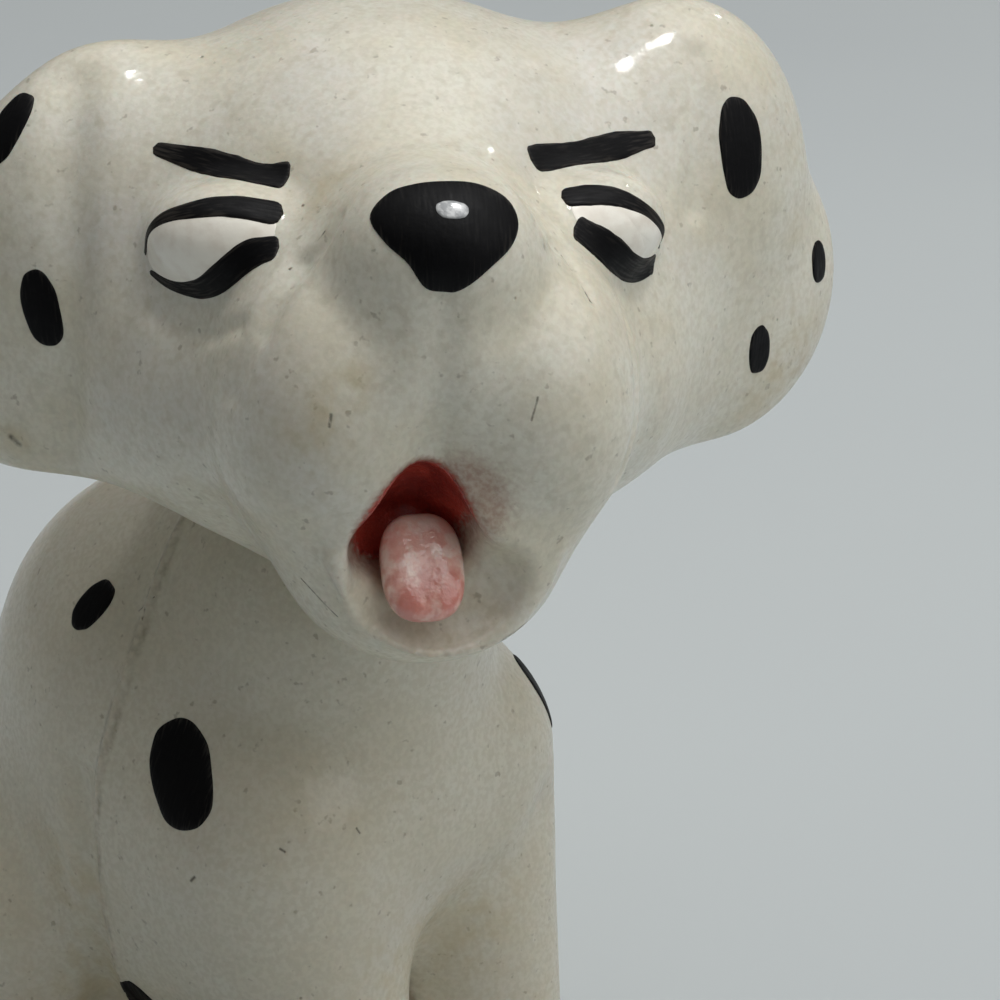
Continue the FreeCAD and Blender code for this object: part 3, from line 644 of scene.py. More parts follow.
FORELEG_BLEND = 4
TAIL = [((4, 43, 6), (-9, 43.5, 4.8), 5.2, 4.6), ((-9, 43.5, 4.8), (-22, 36, 4), 4.6, 3.2)]
TAIL_BLEND = 3
BASE_EDGE = 0.8
HOLLOW = (0, 18, 15.5), (13, 15, 11.5)
POUR_HOLE_FOOT, POUR_HOLE_TOP, POUR_HOLE_RADIUS = (0, 18, -4), (0, 18, 12), 4.5
SEAT_CLEARANCE, SEAT_EDGE = 0.1, 0.5
# The valleys between chest and left foreleg, and between the right foreleg and the hip behind it.
BODY_FOLDS = [
    ([(13, -17.5, 32), (9.6, -19.4, 29.8), (4.2, -18.6, 27.5), (0.5, -16.8, 24), (-2, -17, 19)], 1.1, 2.6),
    ([(-20.2, 5.5, 40), (-20.6, 4.4, 34.2), (-20.3, 4.2, 26.2), (-17.8, 6.5, 16.6), (-16, 8, 8)], 1.3, 1.7),
]
# Grooves between the toes, for the puppy's left side and mirrored.
TOE_FOLDS = [
    ([(6.2, -29.5, 7), (6.6, -30.6, 4), (6.6, -30.3, 0)], 0.9, 0.9),
    ([(10.2, -29.7, 7.6), (10.4, -31, 4), (10.4, -30.8, 0)], 0.9, 0.9),
    ([(16.6, -7.6, 7.2), (16.2, -9.2, 4), (16.2, -9, 0)], 0.8, 0.9),
    ([(20.2, -7.8, 7), (20.3, -9.2, 4), (20.3, -9, 0)], 0.8, 0.9),
]
SEAM_PLACE, SEAM_WAVE, SEAM_WAVE_LENGTH = 2.7, 0.35, 30
SEAM_HEIGHT, SEAM_WIDTH, SEAM_SOIL = 0.42, 0.45, 0.7
BODY_CORNERS = (-28.5, -32, -1.5), (28.5, 50, 68.5)
BODY_STEP = 0.52


def seam_offset(points):
    """How far points lie, along Y, from the wavy plane where the two halves of the mould met."""
    wave = SEAM_WAVE * np.sin(points[..., 2] * 2 * pi / SEAM_WAVE_LENGTH)
    return points[..., 1] - SEAM_PLACE - wave


def solid_body(points):
    """The body before the head is seated on it and its base is cut."""
    pair = both_sides(points)
    form = melt(melted(BODY_MASSES, points), limb(pair, *FORELEG), FORELEG_BLEND)
    for mass in PAW_MASSES:
        form = melt(form, melted([mass], points), mass[-1])
    tail = melt(*(limb(points, *run) for run in TAIL), TAIL_BLEND)
    form = melt(form, tail, TAIL_BLEND)
    form = folded(folded(form, pair, TOE_FOLDS), points, BODY_FOLDS)
    return form - SEAM_HEIGHT * np.exp(-((seam_offset(points) / SEAM_WIDTH) ** 2))


def body_form(points):
    """The body as it stands: cut flat at the base, hollow above the pour hole, and bedded to the head."""
    form = carve(solid_body(points), points[..., 2], BASE_EDGE)
    form = carve(form, egg(points, *HOLLOW), BASE_EDGE)
    bore = limb(points, POUR_HOLE_FOOT, POUR_HOLE_TOP, POUR_HOLE_RADIUS, POUR_HOLE_RADIUS)
    form = carve(form, bore, BASE_EDGE)
    return carve(form, solid_head(unseated(points)) - SEAT_CLEARANCE, SEAT_EDGE)


BODY_STAINS = [
    ((-20, 6.5, 30), 5, 0.5), ((-19, 6, 18), 6, 0.6), ((4, -17.5, 24), 6, 0.45), ((-8, -19, 25), 5, 0.4),
    ((12, -19, 12), 5, 0.35), ((-10, -16, 42), 8, 0.15), ((0, 46, 14), 8, 0.5), ((20, 30, 6), 9, 0.45),
    ((-22, 14, 4), 8, 0.5), ((6, -28, 4), 6, 0.4), ((-12, -28, 3), 6, 0.45),
]
BARE_TOP, BARE_FADE = 0.7, 0.5
# The body's glaze is duller and darker than the head's: dust, and painted shade where the head shades the
# body. Two scratches run beside the seam, and three specks are lower.
BODY_DUST_AND_SHADE = 0.5
BODY_MARKS = [
    ((-15.1, 2.1, 58.4), (-15.9, 2.9, 55.4), 0.13), ((-15.4, 3, 57.6), (-15.8, 3.4, 56), 0.1),
    ((-20.5, -9.1, 36.8), (-20.3, -9.4, 37.2), 0.22), ((-16.4, -15.6, 40.6), (-16.1, -15.8, 40.3), 0.18),
    ((-9.9, -18.3, 40.8), (-9.7, -18.4, 40.3), 0.16),
]


def unmoved(points):
    """The body's points are already in the row's frame."""
    return points


body_points, body_normals, body_faces = skin(body_form, *BODY_CORNERS, BODY_STEP)
seam_soil = SEAM_SOIL * np.exp(-((np.abs(seam_offset(body_points)) - SEAM_WIDTH) / SEAM_WIDTH) ** 2)
body_shades = {
    # Painted shade and dirt in the folds, and dirt beside the seam.
    "fold": np.maximum(hollowness(body_form, body_points, body_normals, FOLD_SHADE_REACH), seam_soil),
    "stain": stained(body_points, BODY_STAINS),
    "bare": np.clip((BARE_TOP - body_points[:, 2]) / BARE_FADE, 0, 1),
}
body_glaze = glazed_plaster("body_glaze", BODY_DUST_AND_SHADE, laid_marks(body_form, BODY_MARKS, unmoved))
add_piece("body", body_points, body_faces, body_glaze, "body_casting", body_shades)

# The joint between head and body: a thin bead of plaster, smeared round the neck when the two castings were
# bonded, and darkened by dirt since.
BEAD_RADIUS, BEAD_STEP = 0.42, 0.17
BEAD_CORNERS = (-15, -21, 58), (14, 6, 71)
BOND = colour(128, 112, 88)
BOND_MOTTLE, BOND_GRAIN_DEPTH = {"Cloud size": 0.002}, 0.00005


def bead_form(points):
    """A round bead along the line where the surfaces of head and body meet."""
    head, body = solid_head(unseated(points)), solid_body(points)
    return np.sqrt(head**2 + body**2 + TINY) - BEAD_RADIUS


def bond_plaster():
    """Matte plaster, uneven in tone."""
    material, graph, shader = painted("bond_plaster", Roughness=0.8)
    clouds, grain = graph.group(MOTTLE, BOND_MOTTLE)
    graph.feed(shader["Base Color"], graph.mix(clouds, BOND, GRIME_AND_SHADE))
    graph.feed(shader["Normal"], graph.bump(grain, BOND_GRAIN_DEPTH))
    return material


bead_points, _, bead_faces = skin(bead_form, *BEAD_CORNERS, BEAD_STEP)
add_piece("neck_bead", bead_points, bead_faces, bond_plaster(), "neck_bond")

# The red inside the mouth: a film of airbrushed enamel, which has a body where it is deep and thins to
# nothing at its edge, where only the glaze is tinted.
LINING_LEAST_ROUGE, LINING_THICK, LINING_SINK = 0.62, 0.16, 0.1
DARK_RED = colour(146, 48, 40)
RED_MOTTLE, RED_GRAIN_DEPTH = {"Cloud size": 0.0025, "Grain size": 0.0003}, 0.00003


def red_enamel():
    """Satin red, darker and browner where it pooled."""
    material, graph, shader = painted("red_enamel", Coat_Weight=0.5, Coat_Roughness=0.2)
    clouds, grain = graph.group(MOTTLE, RED_MOTTLE)
    tone = graph.mix(clouds, MOUTH_RED, DARK_RED)
    haze, full = sprayed(graph)
    tone = graph.mix(full, graph.mix(haze, CREAM, MOUTH_HAZE), tone)
    graph.feed(shader["Base Color"], tone)
    graph.feed(shader["Roughness"], graph.span(grain, 0.0, 1.0, 0.35, 0.55))
    graph.feed(shader["Normal"], graph.bump(grain, RED_GRAIN_DEPTH))
    return material


def peeled(points, normals, faces, chosen, lift, sink):
    """A closed film over the chosen vertices of a mesh: its upper skin is lifted by a thickness per vertex,
    its lower one is sunk, and walls join the two along the film's edge. Also the vertices that it uses."""
    kept = faces[chosen[faces].all(1)]
    used = np.unique(kept)
    number = np.full(len(points), -1)
    number[used] = np.arange(len(used))
    upper = number[kept]
    edges = np.concatenate([upper[:, [i, (i + 1) % 4]] for i in range(4)])
    marks = edges[:, 0] * len(used) + edges[:, 1]
    border = edges[~np.isin(marks, edges[:, 1] * len(used) + edges[:, 0])]
    walls = np.concatenate([border[:, ::-1], border + len(used)], 1)
    both = [points[used] + normals[used] * lift[used, None], points[used] - normals[used] * sink]
    return np.concatenate(both), np.concatenate([upper, upper[:, ::-1] + len(used), walls]), used


head_rouge = head_shades["rouge"]
lining_lift = LINING_THICK * np.clip((head_rouge - LINING_LEAST_ROUGE) / (1 - LINING_LEAST_ROUGE), 0, 1)
lining_points, lining_faces, lining_used = peeled(
    head_points, head_normals, head_faces, head_rouge > LINING_LEAST_ROUGE, lining_lift, LINING_SINK
)
lining_place, lining_shades = seated(lining_points), {"rouge": np.tile(head_rouge[lining_used], 2)}
add_piece("mouth_red", lining_place, lining_faces, red_enamel(), "mouth_lining", lining_shades)

# The tongue: a lobe of plaster stuck in the open mouth, its far edge raised, with a shallow groove along it.
# It is painted a blotchy pink, worn to the pale plaster on the raised edge.
TONGUE_MIDDLE, TONGUE_LENGTH, TONGUE_WIDTH, TONGUE_HEIGHT = (-1.1, -22.3, -16.8), 8.4, 6.2, 3.0
TONGUE_TURN = turned("x", 55)
TONGUE_SQUARENESS = 0.74
TONGUE_GROOVE, TONGUE_GROOVE_WIDTH = 0.2, 0.9
TONGUE_RIM, TONGUE_RIM_REACH, TONGUE_WORN_REACH = 0.5, 1.0, 1.1
TONGUE_TIP_SHARE = 0.3
TONGUE_RINGS, TONGUE_ROUND = 48, 64
PINK, PALE_PINK, DEEP_PINK = colour(236, 184, 170), colour(246, 218, 206), colour(206, 128, 116)
WET_PINK = {"Roughness": 0.3, "Coat_Weight": 0.8, "Coat_Roughness": 0.08}
SOFT_PINK = {"Subsurface_Weight": 0.2, "Subsurface_Scale": 0.001}
PINK_BLOTCH, PINK_POOL, PINK_WEAR, PINK_LUMP, PINK_LUMP_DEPTH = 0.0011, 0.0015, 0.0006, 0.0012, 0.0002


def closed_faces(rings, around):
    """The faces of rings of vertices between a first and a last single one."""
    ring, step = np.arange(rings - 1)[:, None] * around, np.arange(around)[None]
    after = (step + 1) % around
    corners = [ring + step, ring + after, ring + around + after, ring + around + step]
    sides = 1 + np.stack(np.broadcast_arrays(*corners), -1).reshape(-1, 4)
    step, after, last = step[0], after[0], rings * around + 1
    caps = [np.stack([0 * step, 1 + step, 1 + after], 1)]
    caps.append(np.stack([last + 0 * step, last - around + after, last - around + step], 1))
    return [*sides[:, ::-1].tolist(), *np.concatenate(caps).tolist()]


def rounded_power(value, power):
    """A power that keeps the value's sign."""
    return np.sign(value) * np.abs(value) ** power


def tongue_grid():
    """The tongue's points from its far end to its near one, and its shades: a squared ellipsoid whose upper
    side is lower along its middle line and higher at the far end."""
    along = np.linspace(0, pi, TONGUE_RINGS + 2)[:, None]
    around = np.linspace(0, 2 * pi, TONGUE_ROUND, endpoint=False)[None]
    girth = np.sin(along) ** TONGUE_SQUARENESS
    x = -TONGUE_WIDTH / 2 * girth * rounded_power(np.cos(around), TONGUE_SQUARENESS)
    y = TONGUE_LENGTH / 2 * rounded_power(np.cos(along), TONGUE_SQUARENESS) + 0 * around
    z = TONGUE_HEIGHT / 2 * girth * rounded_power(np.sin(around), TONGUE_SQUARENESS)
    upper = np.clip(np.sin(around), 0, 1) * girth
    z = z - upper * TONGUE_GROOVE * np.exp(-((x / TONGUE_GROOVE_WIDTH) ** 2))
    z = z + upper * TONGUE_RIM * np.exp(-(((y - TONGUE_LENGTH / 2) / TONGUE_RIM_REACH) ** 2))
    rings = np.stack([x, y, z], -1)
    points = np.concatenate([rings[0, :1], rings[1:-1].reshape(-1, 3), rings[-1, :1]])
    from_end = (points[:, 1] - TONGUE_LENGTH / 2) / TONGUE_WORN_REACH
    raised = np.exp(-(from_end**2)) * (points[:, 2] > 0)
    tip = np.clip(TONGUE_TIP_SHARE - points[:, 1] / TONGUE_LENGTH, 0, 1)
    return points @ TONGUE_TURN.T + TONGUE_MIDDLE, {"raised": raised, "tip": tip}


def pink_enamel():
    """Glossy pink in blotches, nearly worn away where the tongue is raised."""
    material, graph, shader = painted("pink_enamel", **WET_PINK, **SOFT_PINK)
    blotch = graph.span(graph.noise(PINK_BLOTCH), 0.4, 0.6)
    uneven = graph.span(graph.noise(PINK_POOL), 0.3, 0.7, -0.3, 0.3)
    pooled = graph.span(graph.sum("ADD", graph.shade("tip"), uneven), 0.2, 0.8, 0.0, 0.9)
    rubbed = graph.span(graph.noise(PINK_WEAR), 0.3, 0.55, 0.5, 1.0)
    worn = graph.sum("MULTIPLY", graph.shade("raised"), rubbed)
    tone = graph.layered(PINK, [(blotch, PALE_PINK), (pooled, DEEP_PINK), (worn, CREAM)])
    graph.feed(shader["Base Color"], tone)
    lumps = graph.noise(PINK_LUMP)
    graph.feed(shader["Normal"], graph.bump(lumps, PINK_LUMP_DEPTH, 0.8))
    graph.feed(shader["Coat Normal"], graph.bump(lumps, PINK_LUMP_DEPTH, 0.8))
    return material


tongue_points, tongue_shades = tongue_grid()
tongue_place, tongue_faces = seated(tongue_points), closed_faces(TONGUE_RINGS, TONGUE_ROUND)
add_piece("tongue", tongue_place, tongue_faces, pink_enamel(), "tongue", tongue_shades)

# The nose: one coat of glossy black enamel over the plaster pad, put on with a small brush. Like every dark
# mark it is thick where the brush was laid down, and streaked, thin and brownish where it was lifted.
FILM_THICK, FILM_SINK, NOSE_THICK = 0.15, 0.12, 0.22
FILM_RINGS, FILM_ROUND = 12, 72
# The under side's two rings, as shares of the outline, and how much of the paint is missing at the edge.
UNDER_SHARES, EDGE_LOSS_SHARE = (0.97, 0.5), 0.35
BLACK, THIN_BLACK = colour(3, 3, 5), colour(46, 43, 40)
STREAK, STREAK_DEPTH, STREAK_STRETCH_SHARE = 0.00022, 0.00001, 0.12
BLACK_LUMP, BLACK_LUMP_DEPTH = 0.0012, 0.00006
NOSE_OUTLINE = [
    (0, -28.5, 12.3), (-2.2, -28.2, 12.1), (-3.9, -27.9, 11.6), (-5.3, -28.3, 10), (-4.6, -30.1, 8.4),
    (-3.2, -31.3, 7), (-2, -31.5, 5.2), (-0.6, -31.7, 4.7), (0.4, -31.7, 4.9), (2.6, -31.5, 6.5),
    (4.4, -30.5, 7.9), (5.1, -29.2, 9.4), (4.5, -28.3, 10.9), (2.5, -28.3, 12),
]


def rounded_path(path, count, closed=False):
    """Points along a smooth curve through the points of a path."""
    path = np.array(path, float)
    if closed:
        path = path[np.arange(-1, len(path) + 2) % len(path)]
    else:
        path = np.concatenate([2 * path[:1] - path[1:2], path, 2 * path[-1:] - path[-2:-1]])
    runs = len(path) - 3
    at = np.linspace(0, runs, count, endpoint=not closed)
    run = np.minimum(at.astype(int), runs - 1)
    t = (at - run)[:, None]
    a, b, c, d = (path[run + i] for i in range(4))
    return (2 * b + (c - a) * t + (2 * a - 5 * b + 4 * c - d) * t**2 + (3 * b - a - 3 * c + d) * t**3) / 2


def wobble(count, seed, waves=(2, 3, 5, 7, 11)):
    """Small ups and downs of a hand-drawn edge, between about -1 and 1, that close on themselves."""
    dice = np.random.default_rng(seed)
    turn = np.linspace(0, 2 * pi, count, endpoint=False)
    rows = [dice.uniform(0.4, 1) * np.sin(wave * turn + dice.uniform(0, 2 * pi)) / wave for wave in waves]
    return np.sum(rows, 0)


def frame_at(normal):
    """The directions right, up and out at a place, as rows."""
    right = np.cross(AXES[2], normal)
    right = right / np.linalg.norm(right)
    return np.array([right, np.cross(normal, right), normal])


def patch(form, outline, thick=FILM_THICK, sink=FILM_SINK):
    """A closed film inside an outline on a form, domed at its edge: (points, faces, shades). The outline
    runs counter-clockwise seen from outside."""
    middle = outline.mean(0)
    upper = np.sin(np.linspace(0, pi / 2, FILM_RINGS + 1)[1:])
    shares = np.concatenate([upper, UNDER_SHARES])
    lifts = np.concatenate([thick * np.sqrt(1 - upper**10), [-sink, -sink]])
    flat = middle + shares[:, None, None] * (outline - middle)
    points, normals = settled(form, np.concatenate([[middle], flat.reshape(-1, 3), [middle]]))
    lift = np.concatenate([[thick], np.repeat(lifts, len(outline)), [-sink]])
    edge = np.concatenate([[0], np.repeat(np.concatenate([upper, [1, 1]]), len(outline)), [1]])
    across, along, _ = frame_at(normals[0]) @ (points - middle).T * MM
    shades = {"along": along, "across": across, "load": 1 - EDGE_LOSS_SHARE * edge**6}
    return points + normals * lift[:, None], closed_faces(len(shares), len(outline)), shades


def black_enamel():
    """Glossy black with streaks along the brush, brownish where it is thin."""
    material, graph, shader = painted("black_enamel", Specular_IOR_Level=0.13)
    inputs = {
        "X": graph.sum("MULTIPLY", graph.shade("along"), STREAK_STRETCH_SHARE),
        "Y": graph.shade("across"),
    }
    streak = graph.noise(STREAK, graph.node("ShaderNodeCombineXYZ", inputs), detail=2.0)
    thin = graph.sum("ADD", graph.shade("load"), graph.span(streak, 0.3, 0.7, -0.25, 0.25))
    thin = graph.span(thin, 0.85, 0.35)
    graph.feed(shader["Base Color"], graph.mix(thin, BLACK, THIN_BLACK))
    graph.feed(shader["Roughness"], graph.span(streak, 0.3, 0.7, 0.42, 0.6))
    lumps = graph.bump(graph.noise(BLACK_LUMP), BLACK_LUMP_DEPTH)
    graph.feed(shader["Normal"], graph.bump(streak, STREAK_DEPTH, 0.8, lumps))
    return material


BLACK_ENAMEL = black_enamel()


def gathered(films):
    """Several films as one mesh."""
    points, faces, shades, first = [], [], {}, 0
    for film_points, film_faces, film_shades in films:
        points.append(film_points)
        faces += [[first + corner for corner in face] for face in film_faces]
        for shade, values in film_shades.items():
            shades.setdefault(shade, []).append(values)
        first += len(film_points)
    shades = {shade: np.concatenate(values) for shade, values in shades.items()}
    return np.concatenate(points), faces, shades


def add_films(name, films, material, node, place=seated):
    """A piece made of one or more films."""
    points, faces, shades = gathered(films)
    add_piece(name, place(points), faces, material, node, shades)


nose_outline = rounded_path(NOSE_OUTLINE, FILM_ROUND, closed=True)
add_films("nose", [patch(head_form, nose_outline, NOSE_THICK)], BLACK_ENAMEL, "nose_enamel")

# The brows and the rims of the screwed-up eyes: single strokes of the black enamel, each drawn in one go.
# Each row is the stroke's path from its blunt end, and its half width along it.
BROWS = [
    ([(-9.4, -15.5, 11.8), (-11.6, -14.2, 12.1), (-13.6, -12.2, 12.4), (-15.6, -9.7, 12.7),
      (-18.6, -7.1, 13.4)], (1.25, 1.3, 1.25, 1.05, 0.5)),
    ([(8.8, -15.2, 12.4), (11.4, -13.5, 12.5), (14.2, -11.4, 12.5), (17.1, -8.7, 12.6),
      (20.1, -6.9, 12.8)], (1.15, 1.25, 1.2, 1.1, 0.65)),
]
UPPER_LIDS = [
    ([(-10.2, -18.5, 9.4), (-13.1, -17.9, 9.9), (-15.2, -17.2, 9.9), (-17, -16.2, 9.5), (-18.7, -14, 8.4),
      (-19.5, -12.2, 7), (-19.9, -11.1, 5.8)], (1.05, 1.15, 1.0, 0.75, 0.5, 0.3, 0.2)),
    ([(10.6, -18, 9.9), (12.7, -17.9, 10), (14.7, -17.6, 9.7), (16.4, -16.9, 8.8), (18, -15.2, 7.3),
      (19.1, -12.9, 5.9), (19.6, -11.5, 5)], (0.9, 1.1, 0.95, 0.7, 0.45, 0.3, 0.2)),
]
LOWER_LIDS = [
    ([(-10.8, -20.4, 7.1), (-12.5, -19.1, 6.5), (-14.2, -17.3, 5.6), (-15.8, -15.2, 4.6), (-17.6, -13.3, 4.1),
      (-19.4, -11.4, 4.6)], (1.05, 1.2, 1.15, 0.9, 0.5, 0.2)),
    ([(11.1, -19.4, 7.6), (12.6, -18.9, 6.6), (14.5, -17.3, 5.6), (17, -13.8, 4.5), (18.8, -12.2, 3.8)],
     (1.15, 1.3, 1.3, 1.15, 0.8)),
]
STROKES = {"brow_strokes": BROWS, "upper_lid_strokes": UPPER_LIDS, "lower_lid_strokes": LOWER_LIDS}
STROKE_STATIONS, STROKE_ACROSS, STROKE_UNDER = 64, 13, 4
STROKE_WOBBLE_SHARE, BLUNT_END_SHARE, THIN_END_SHARE, STROKE_UNDER_SHARE = 0.08, 0.05, 0.03, 0.95
STROKE_EDGE_LOSS_SHARE = 0.45


def stroke(form, path, half_widths, seed, thick=FILM_THICK, sink=FILM_SINK):
    """A closed film along a brush stroke on a form, from its blunt end to its thin one: (points, faces,
    shades)."""
    spine, normals = settled(form, rounded_path(path, STROKE_STATIONS), 6)
    share = np.linspace(0, 1, STROKE_STATIONS)
    width = np.interp(share, np.linspace(0, 1, len(half_widths)), half_widths)
    width = width * (1 + STROKE_WOBBLE_SHARE * wobble(STROKE_STATIONS, seed))
    ends = np.clip(np.minimum(share / BLUNT_END_SHARE, (1 - share) / THIN_END_SHARE), 0, 1)
    width = width * np.sqrt(1 - (1 - ends) ** 2)
    forward = np.gradient(spine, axis=0)
    forward = forward / np.linalg.norm(forward, axis=-1, keepdims=True)
    side = np.cross(normals, forward)
    over = np.sin(np.linspace(-pi / 2, pi / 2, STROKE_ACROSS))
    under = np.linspace(STROKE_UNDER_SHARE, -STROKE_UNDER_SHARE, STROKE_UNDER)
    across = np.concatenate([over, under])
    lift = np.concatenate([thick * np.sqrt(1 - over**8), -sink + 0 * under])
    load = np.clip(width / np.max(width), 0.3, 1) ** 0.7
    flat = spine[:, None] + side[:, None] * (width[:, None] * across)[..., None]
    points, outward = settled(form, flat[1:-1].reshape(-1, 3))
    rise = (load[1:-1, None] * lift[None]).ravel()
    points = np.concatenate([spine[:1], points + outward * rise[:, None], spine[-1:]])
    length = share * np.linalg.norm(np.diff(spine, axis=0), axis=-1).sum()
    middle = slice(1, -1)
    rings = {
        "along": (length[middle, None] + 0 * across) * MM,
        "across": width[middle, None] * across * MM,
        "load": load[middle, None] * (1 - STROKE_EDGE_LOSS_SHARE * np.abs(across) ** 4),
    }
    shades = {shade: np.concatenate([[0.0], ring.ravel(), [0.0]]) for shade, ring in rings.items()}
    return points, closed_faces(STROKE_STATIONS - 2, len(across)), shades


for number, (name, rows) in enumerate(STROKES.items()):
    films = [stroke(head_form, *row, 10 * number + side) for side, row in enumerate(rows)]
    add_films(name, films, BLACK_ENAMEL, name)

# The whites of the eyes: one thin coat of glossy white enamel in each, brushed on between the lids' strokes,
# and whiter than the glaze.
WHITE_THICK, WHITE_SINK, WHITE_SHARE = 0.04, 0.12, 0.88
WHITE, CREAMY_WHITE = colour(246, 242, 230), colour(236, 229, 216)
WHITE_CLOUD, WHITE_LUMP, WHITE_LUMP_DEPTH = 0.0015, 0.001, 0.00004


def white_enamel():
    """Glossy white, a little uneven."""
    material, graph, shader = painted("white_enamel", Roughness=0.3, Coat_Weight=0.8, Coat_Roughness=0.08)
    clouds = graph.span(graph.noise(WHITE_CLOUD, detail=4.0), 0.4, 0.7)
    graph.feed(shader["Base Color"], graph.mix(clouds, WHITE, CREAMY_WHITE))
    graph.feed(shader["Normal"], graph.bump(graph.noise(WHITE_LUMP), WHITE_LUMP_DEPTH))
    return material


def between_lids(upper, lower):
    """The outline between two lid strokes, counter-clockwise seen from outside."""
    (upper_path, _), (lower_path, _) = upper, lower
    on_the_left = upper_path[0][0] > 0
    loop = upper_path + lower_path[::-1] if on_the_left else upper_path[::-1] + lower_path
    outline = rounded_path(loop[::-1], FILM_ROUND, closed=True)
    middle = outline.mean(0)
    return middle + WHITE_SHARE * (outline - middle)


white_outlines = [between_lids(*lids) for lids in zip(UPPER_LIDS, LOWER_LIDS)]
whites = [patch(head_form, outline, WHITE_THICK, WHITE_SINK) for outline in white_outlines]
add_films("eye_whites", whites, white_enamel(), "eye_whites")

# The glint: a painted highlight where a lamp's glint falls on the glossy black nose, drawn as one dab of pale
# grey enamel over it. Its row is a place, the length and width, the tilt and the seed of its edge.
GLINT = (0.1, -30.8, 10.5), 1.5, 2.5, -6, 40
GLINT_THICK, GLINT_SINK = 0.3, -0.15
OVAL_WOBBLE_SHARE, OVAL_SQUARENESS = 0.07, 0.85
GLINT_GREY, THIN_GLINT_GREY = colour(196, 198, 198), colour(140, 143, 145)
GLINT_PATCH, GLINT_DEPTH = 0.0006, 0.00003


def oval(form, place, long, wide, tilt, seed):
    """The uneven outline of an oval dab at a place, its long side tilted counter-clockwise from upright."""
    place, normal = settled(form, np.array([place], float), 12)
    around = np.linspace(0, 2 * pi, FILM_ROUND, endpoint=False)
    size = 1 + OVAL_WOBBLE_SHARE * wobble(FILM_ROUND, seed)
    x = wide / 2 * rounded_power(np.cos(around), OVAL_SQUARENESS) * size
    y = long / 2 * rounded_power(np.sin(around), OVAL_SQUARENESS) * size
    c, s = cos(radians(tilt)), sin(radians(tilt))
    return place[0] + np.stack([x * c - y * s, x * s + y * c], -1) @ frame_at(normal[0])[:2]


def grey_enamel():
    """A painted highlight in glossy pale grey, thin towards its edge."""
    material, graph, shader = painted("grey_enamel", Roughness=0.35, Coat_Weight=0.6, Coat_Roughness=0.1)
    patchy = graph.span(graph.noise(GLINT_PATCH, detail=4.0), 0.35, 0.65)
    graph.feed(shader["Base Color"], graph.mix(patchy, GLINT_GREY, THIN_GLINT_GREY))
    graph.feed(shader["Normal"], graph.bump(patchy, GLINT_DEPTH))
    return material


glint = patch(head_form, oval(head_form, *GLINT), GLINT_THICK, GLINT_SINK)
add_films("glint", [glint], grey_enamel(), "nose_glint")

# The spots of the coat: oval dabs of the same black enamel. Each row is a place, the length and width, and
# the tilt. The ears' are in the head's frame, and the body's in the row's frame.
HEAD_SPOTS = [
    ((-29.3, -1.4, 14.8), 6.6, 3.2, -14), ((-27.5, -4.6, 1.1), 6, 3.3, 10),
    ((27.4, -4.2, 11.8), 7.9, 4.4, 2), ((37.1, 4.6, 1.3), 3.5, 2.6, 6), ((30.8, -0.8, -5.1), 4.2, 2.6, 10),
    ((15, 22, 12), 7.2, 4.5, 20), ((-7, 26, 1), 8, 5, -30), ((3, 14, 24), 4.5, 3.5, 60),
    ((31, 9, 4), 7, 4, 15), ((-33, 8, -1), 6.3, 4, 0),
]
BODY_SPOTS = [
    ((-16.4, 8.5, 55.2), 5.2, 3.1, -22), ((-18.9, -5.6, 44.9), 9.3, 6.2, 33),
    ((16.8, -12.4, 40.2), 8, 4.4, -4), ((-18.3, 1, 17.8), 6.6, 4.4, 20), ((19, 5, 40), 8, 4.5, 25),
    ((24, 16, 26), 7.2, 5, -20), ((3, 31, 44), 8, 5, 5), ((-17, 40, 28), 9, 4.5, 35),
    ((-21.5, 21, 30), 6.4, 4, -15), ((10, 44, 18), 6.3, 4, 50), ((22, 0, 14), 5.4, 3.5, 0),
]
SPOT_SEED = 60


def spots(form, rows):
    """The films of a table of spots."""
    return [patch(form, oval(form, *row, SPOT_SEED + number)) for number, row in enumerate(rows)]


ear_spots, body_marks = spots(head_form, HEAD_SPOTS), spots(solid_body, BODY_SPOTS)
add_films("ear_and_nape_spots", ear_spots, BLACK_ENAMEL, "head_spots")
add_films("body_marks", body_marks, BLACK_ENAMEL, "body_spots", unmoved)

# The stage: a plain pale grey-blue table under the figure, five lamps, and the camera, which looks down at
# the puppy's face from close by.
FLOOR_HALF, FLOOR_CLOUD = 6.0, 0.25
FLOOR_TONE, FLOOR_SHADE = colour(192, 198, 199), colour(188, 194, 196)


def floor_cloth():
    """Plain matte grey-blue, very slightly uneven."""
    material, graph, shader = painted("floor", Roughness=0.8)
    clouds = graph.span(graph.noise(FLOOR_CLOUD), 0.3, 0.7)
    graph.feed(shader["Base Color"], graph.mix(clouds, FLOOR_TONE, FLOOR_SHADE))
    return material


def stage_floor():
    """One large square under the object."""
    mesh = bpy.data.meshes.new("floor")
    signs = [(-1, -1), (1, -1), (1, 1), (-1, 1)]
    mesh.from_pydata([(x * FLOOR_HALF, y * FLOOR_HALF, 0) for x, y in signs], [], [(0, 1, 2, 3)])
    mesh.materials.append(floor_cloth())
    floor = bpy.data.objects.new("floor", mesh)
    bpy.context.scene.collection.objects.link(floor)


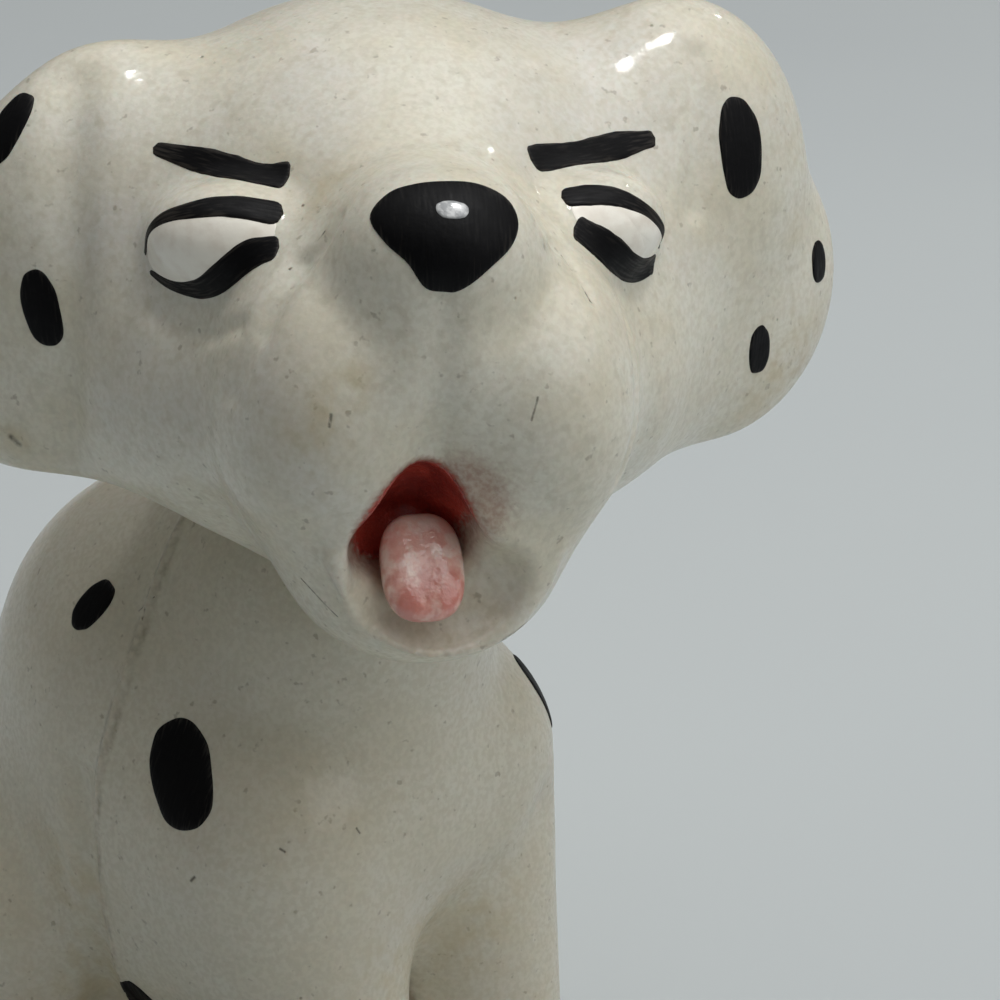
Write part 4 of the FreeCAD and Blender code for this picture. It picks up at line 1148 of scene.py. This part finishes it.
def lamp(name, place, size, power, target):
    """A square soft lamp that faces a target."""
    data = bpy.data.lights.new(name, "AREA")
    data.size, data.energy = size, power
    light = bpy.data.objects.new(name, data)
    light.location = place
    light.rotation_mode = "QUATERNION"
    light.rotation_quaternion = (Vector(place) - Vector(target)).to_track_quat("Z", "Y")
    bpy.context.scene.collection.objects.link(light)


stage_floor()
head_middle = HEAD_PLACE * MM
# Each row: the lamp, its place, its size and its power. A very broad one above and a broad one to the right
# give the light. The small ones, two above and one far to the right, only draw the crisp highlights.
LAMPS = [
    ("overhead", (0.1, 0.1, 0.95), 1.4, 4.2),
    ("side", (0.34, -0.6, 0.8), 1.3, 6.3),
    ("pane", (0.13, -0.12, 0.66), 0.08, 0.8),
    ("bulb", (0.0, 0.08, 0.68), 0.04, 0.3),
    ("far bulb", (0.62, 0.11, 0.39), 0.03, 0.08),
]
for row in LAMPS:
    lamp(*row, head_middle)

SKY, SKY_STRENGTH = colour(222, 219, 212), 0.15
world = bpy.data.worlds.new("world")
bpy.context.scene.world = world
world.use_nodes = True
sky = world.node_tree.nodes["Background"].inputs
sky["Color"].default_value = SKY
sky["Strength"].default_value = SKY_STRENGTH

# The photo is taken from the puppy's front right and a little above, from close by.
CAMERA_TURN, CAMERA_LIFT, CAMERA_AWAY = radians(-45), radians(22), 0.25
SENSOR_WIDTH, LENS, NEAREST, FARTHEST = 36, 112.5, 0.01, 30
FRAME_RIGHT, FRAME_DOWN = 0.0089, 0.016
across, ahead, level = sin(CAMERA_TURN), cos(CAMERA_TURN), cos(CAMERA_LIFT)
to_camera = Vector((across * level, -ahead * level, sin(CAMERA_LIFT)))
frame_right = Vector((ahead, across, 0))
frame_up = to_camera.cross(frame_right)
camera_data = bpy.data.cameras.new("camera")
camera_data.sensor_width, camera_data.lens = SENSOR_WIDTH, LENS
camera_data.clip_start, camera_data.clip_end = NEAREST, FARTHEST
camera = bpy.data.objects.new("camera", camera_data)
camera.location = Vector(head_middle) + to_camera * CAMERA_AWAY
aim = Vector(head_middle) + frame_right * FRAME_RIGHT - frame_up * FRAME_DOWN
camera.rotation_mode = "QUATERNION"
camera.rotation_quaternion = (camera.location - aim).to_track_quat("Z", "Y")
bpy.context.scene.collection.objects.link(camera)
bpy.context.scene.camera = camera
bpy.context.scene.view_settings.view_transform = "Standard"
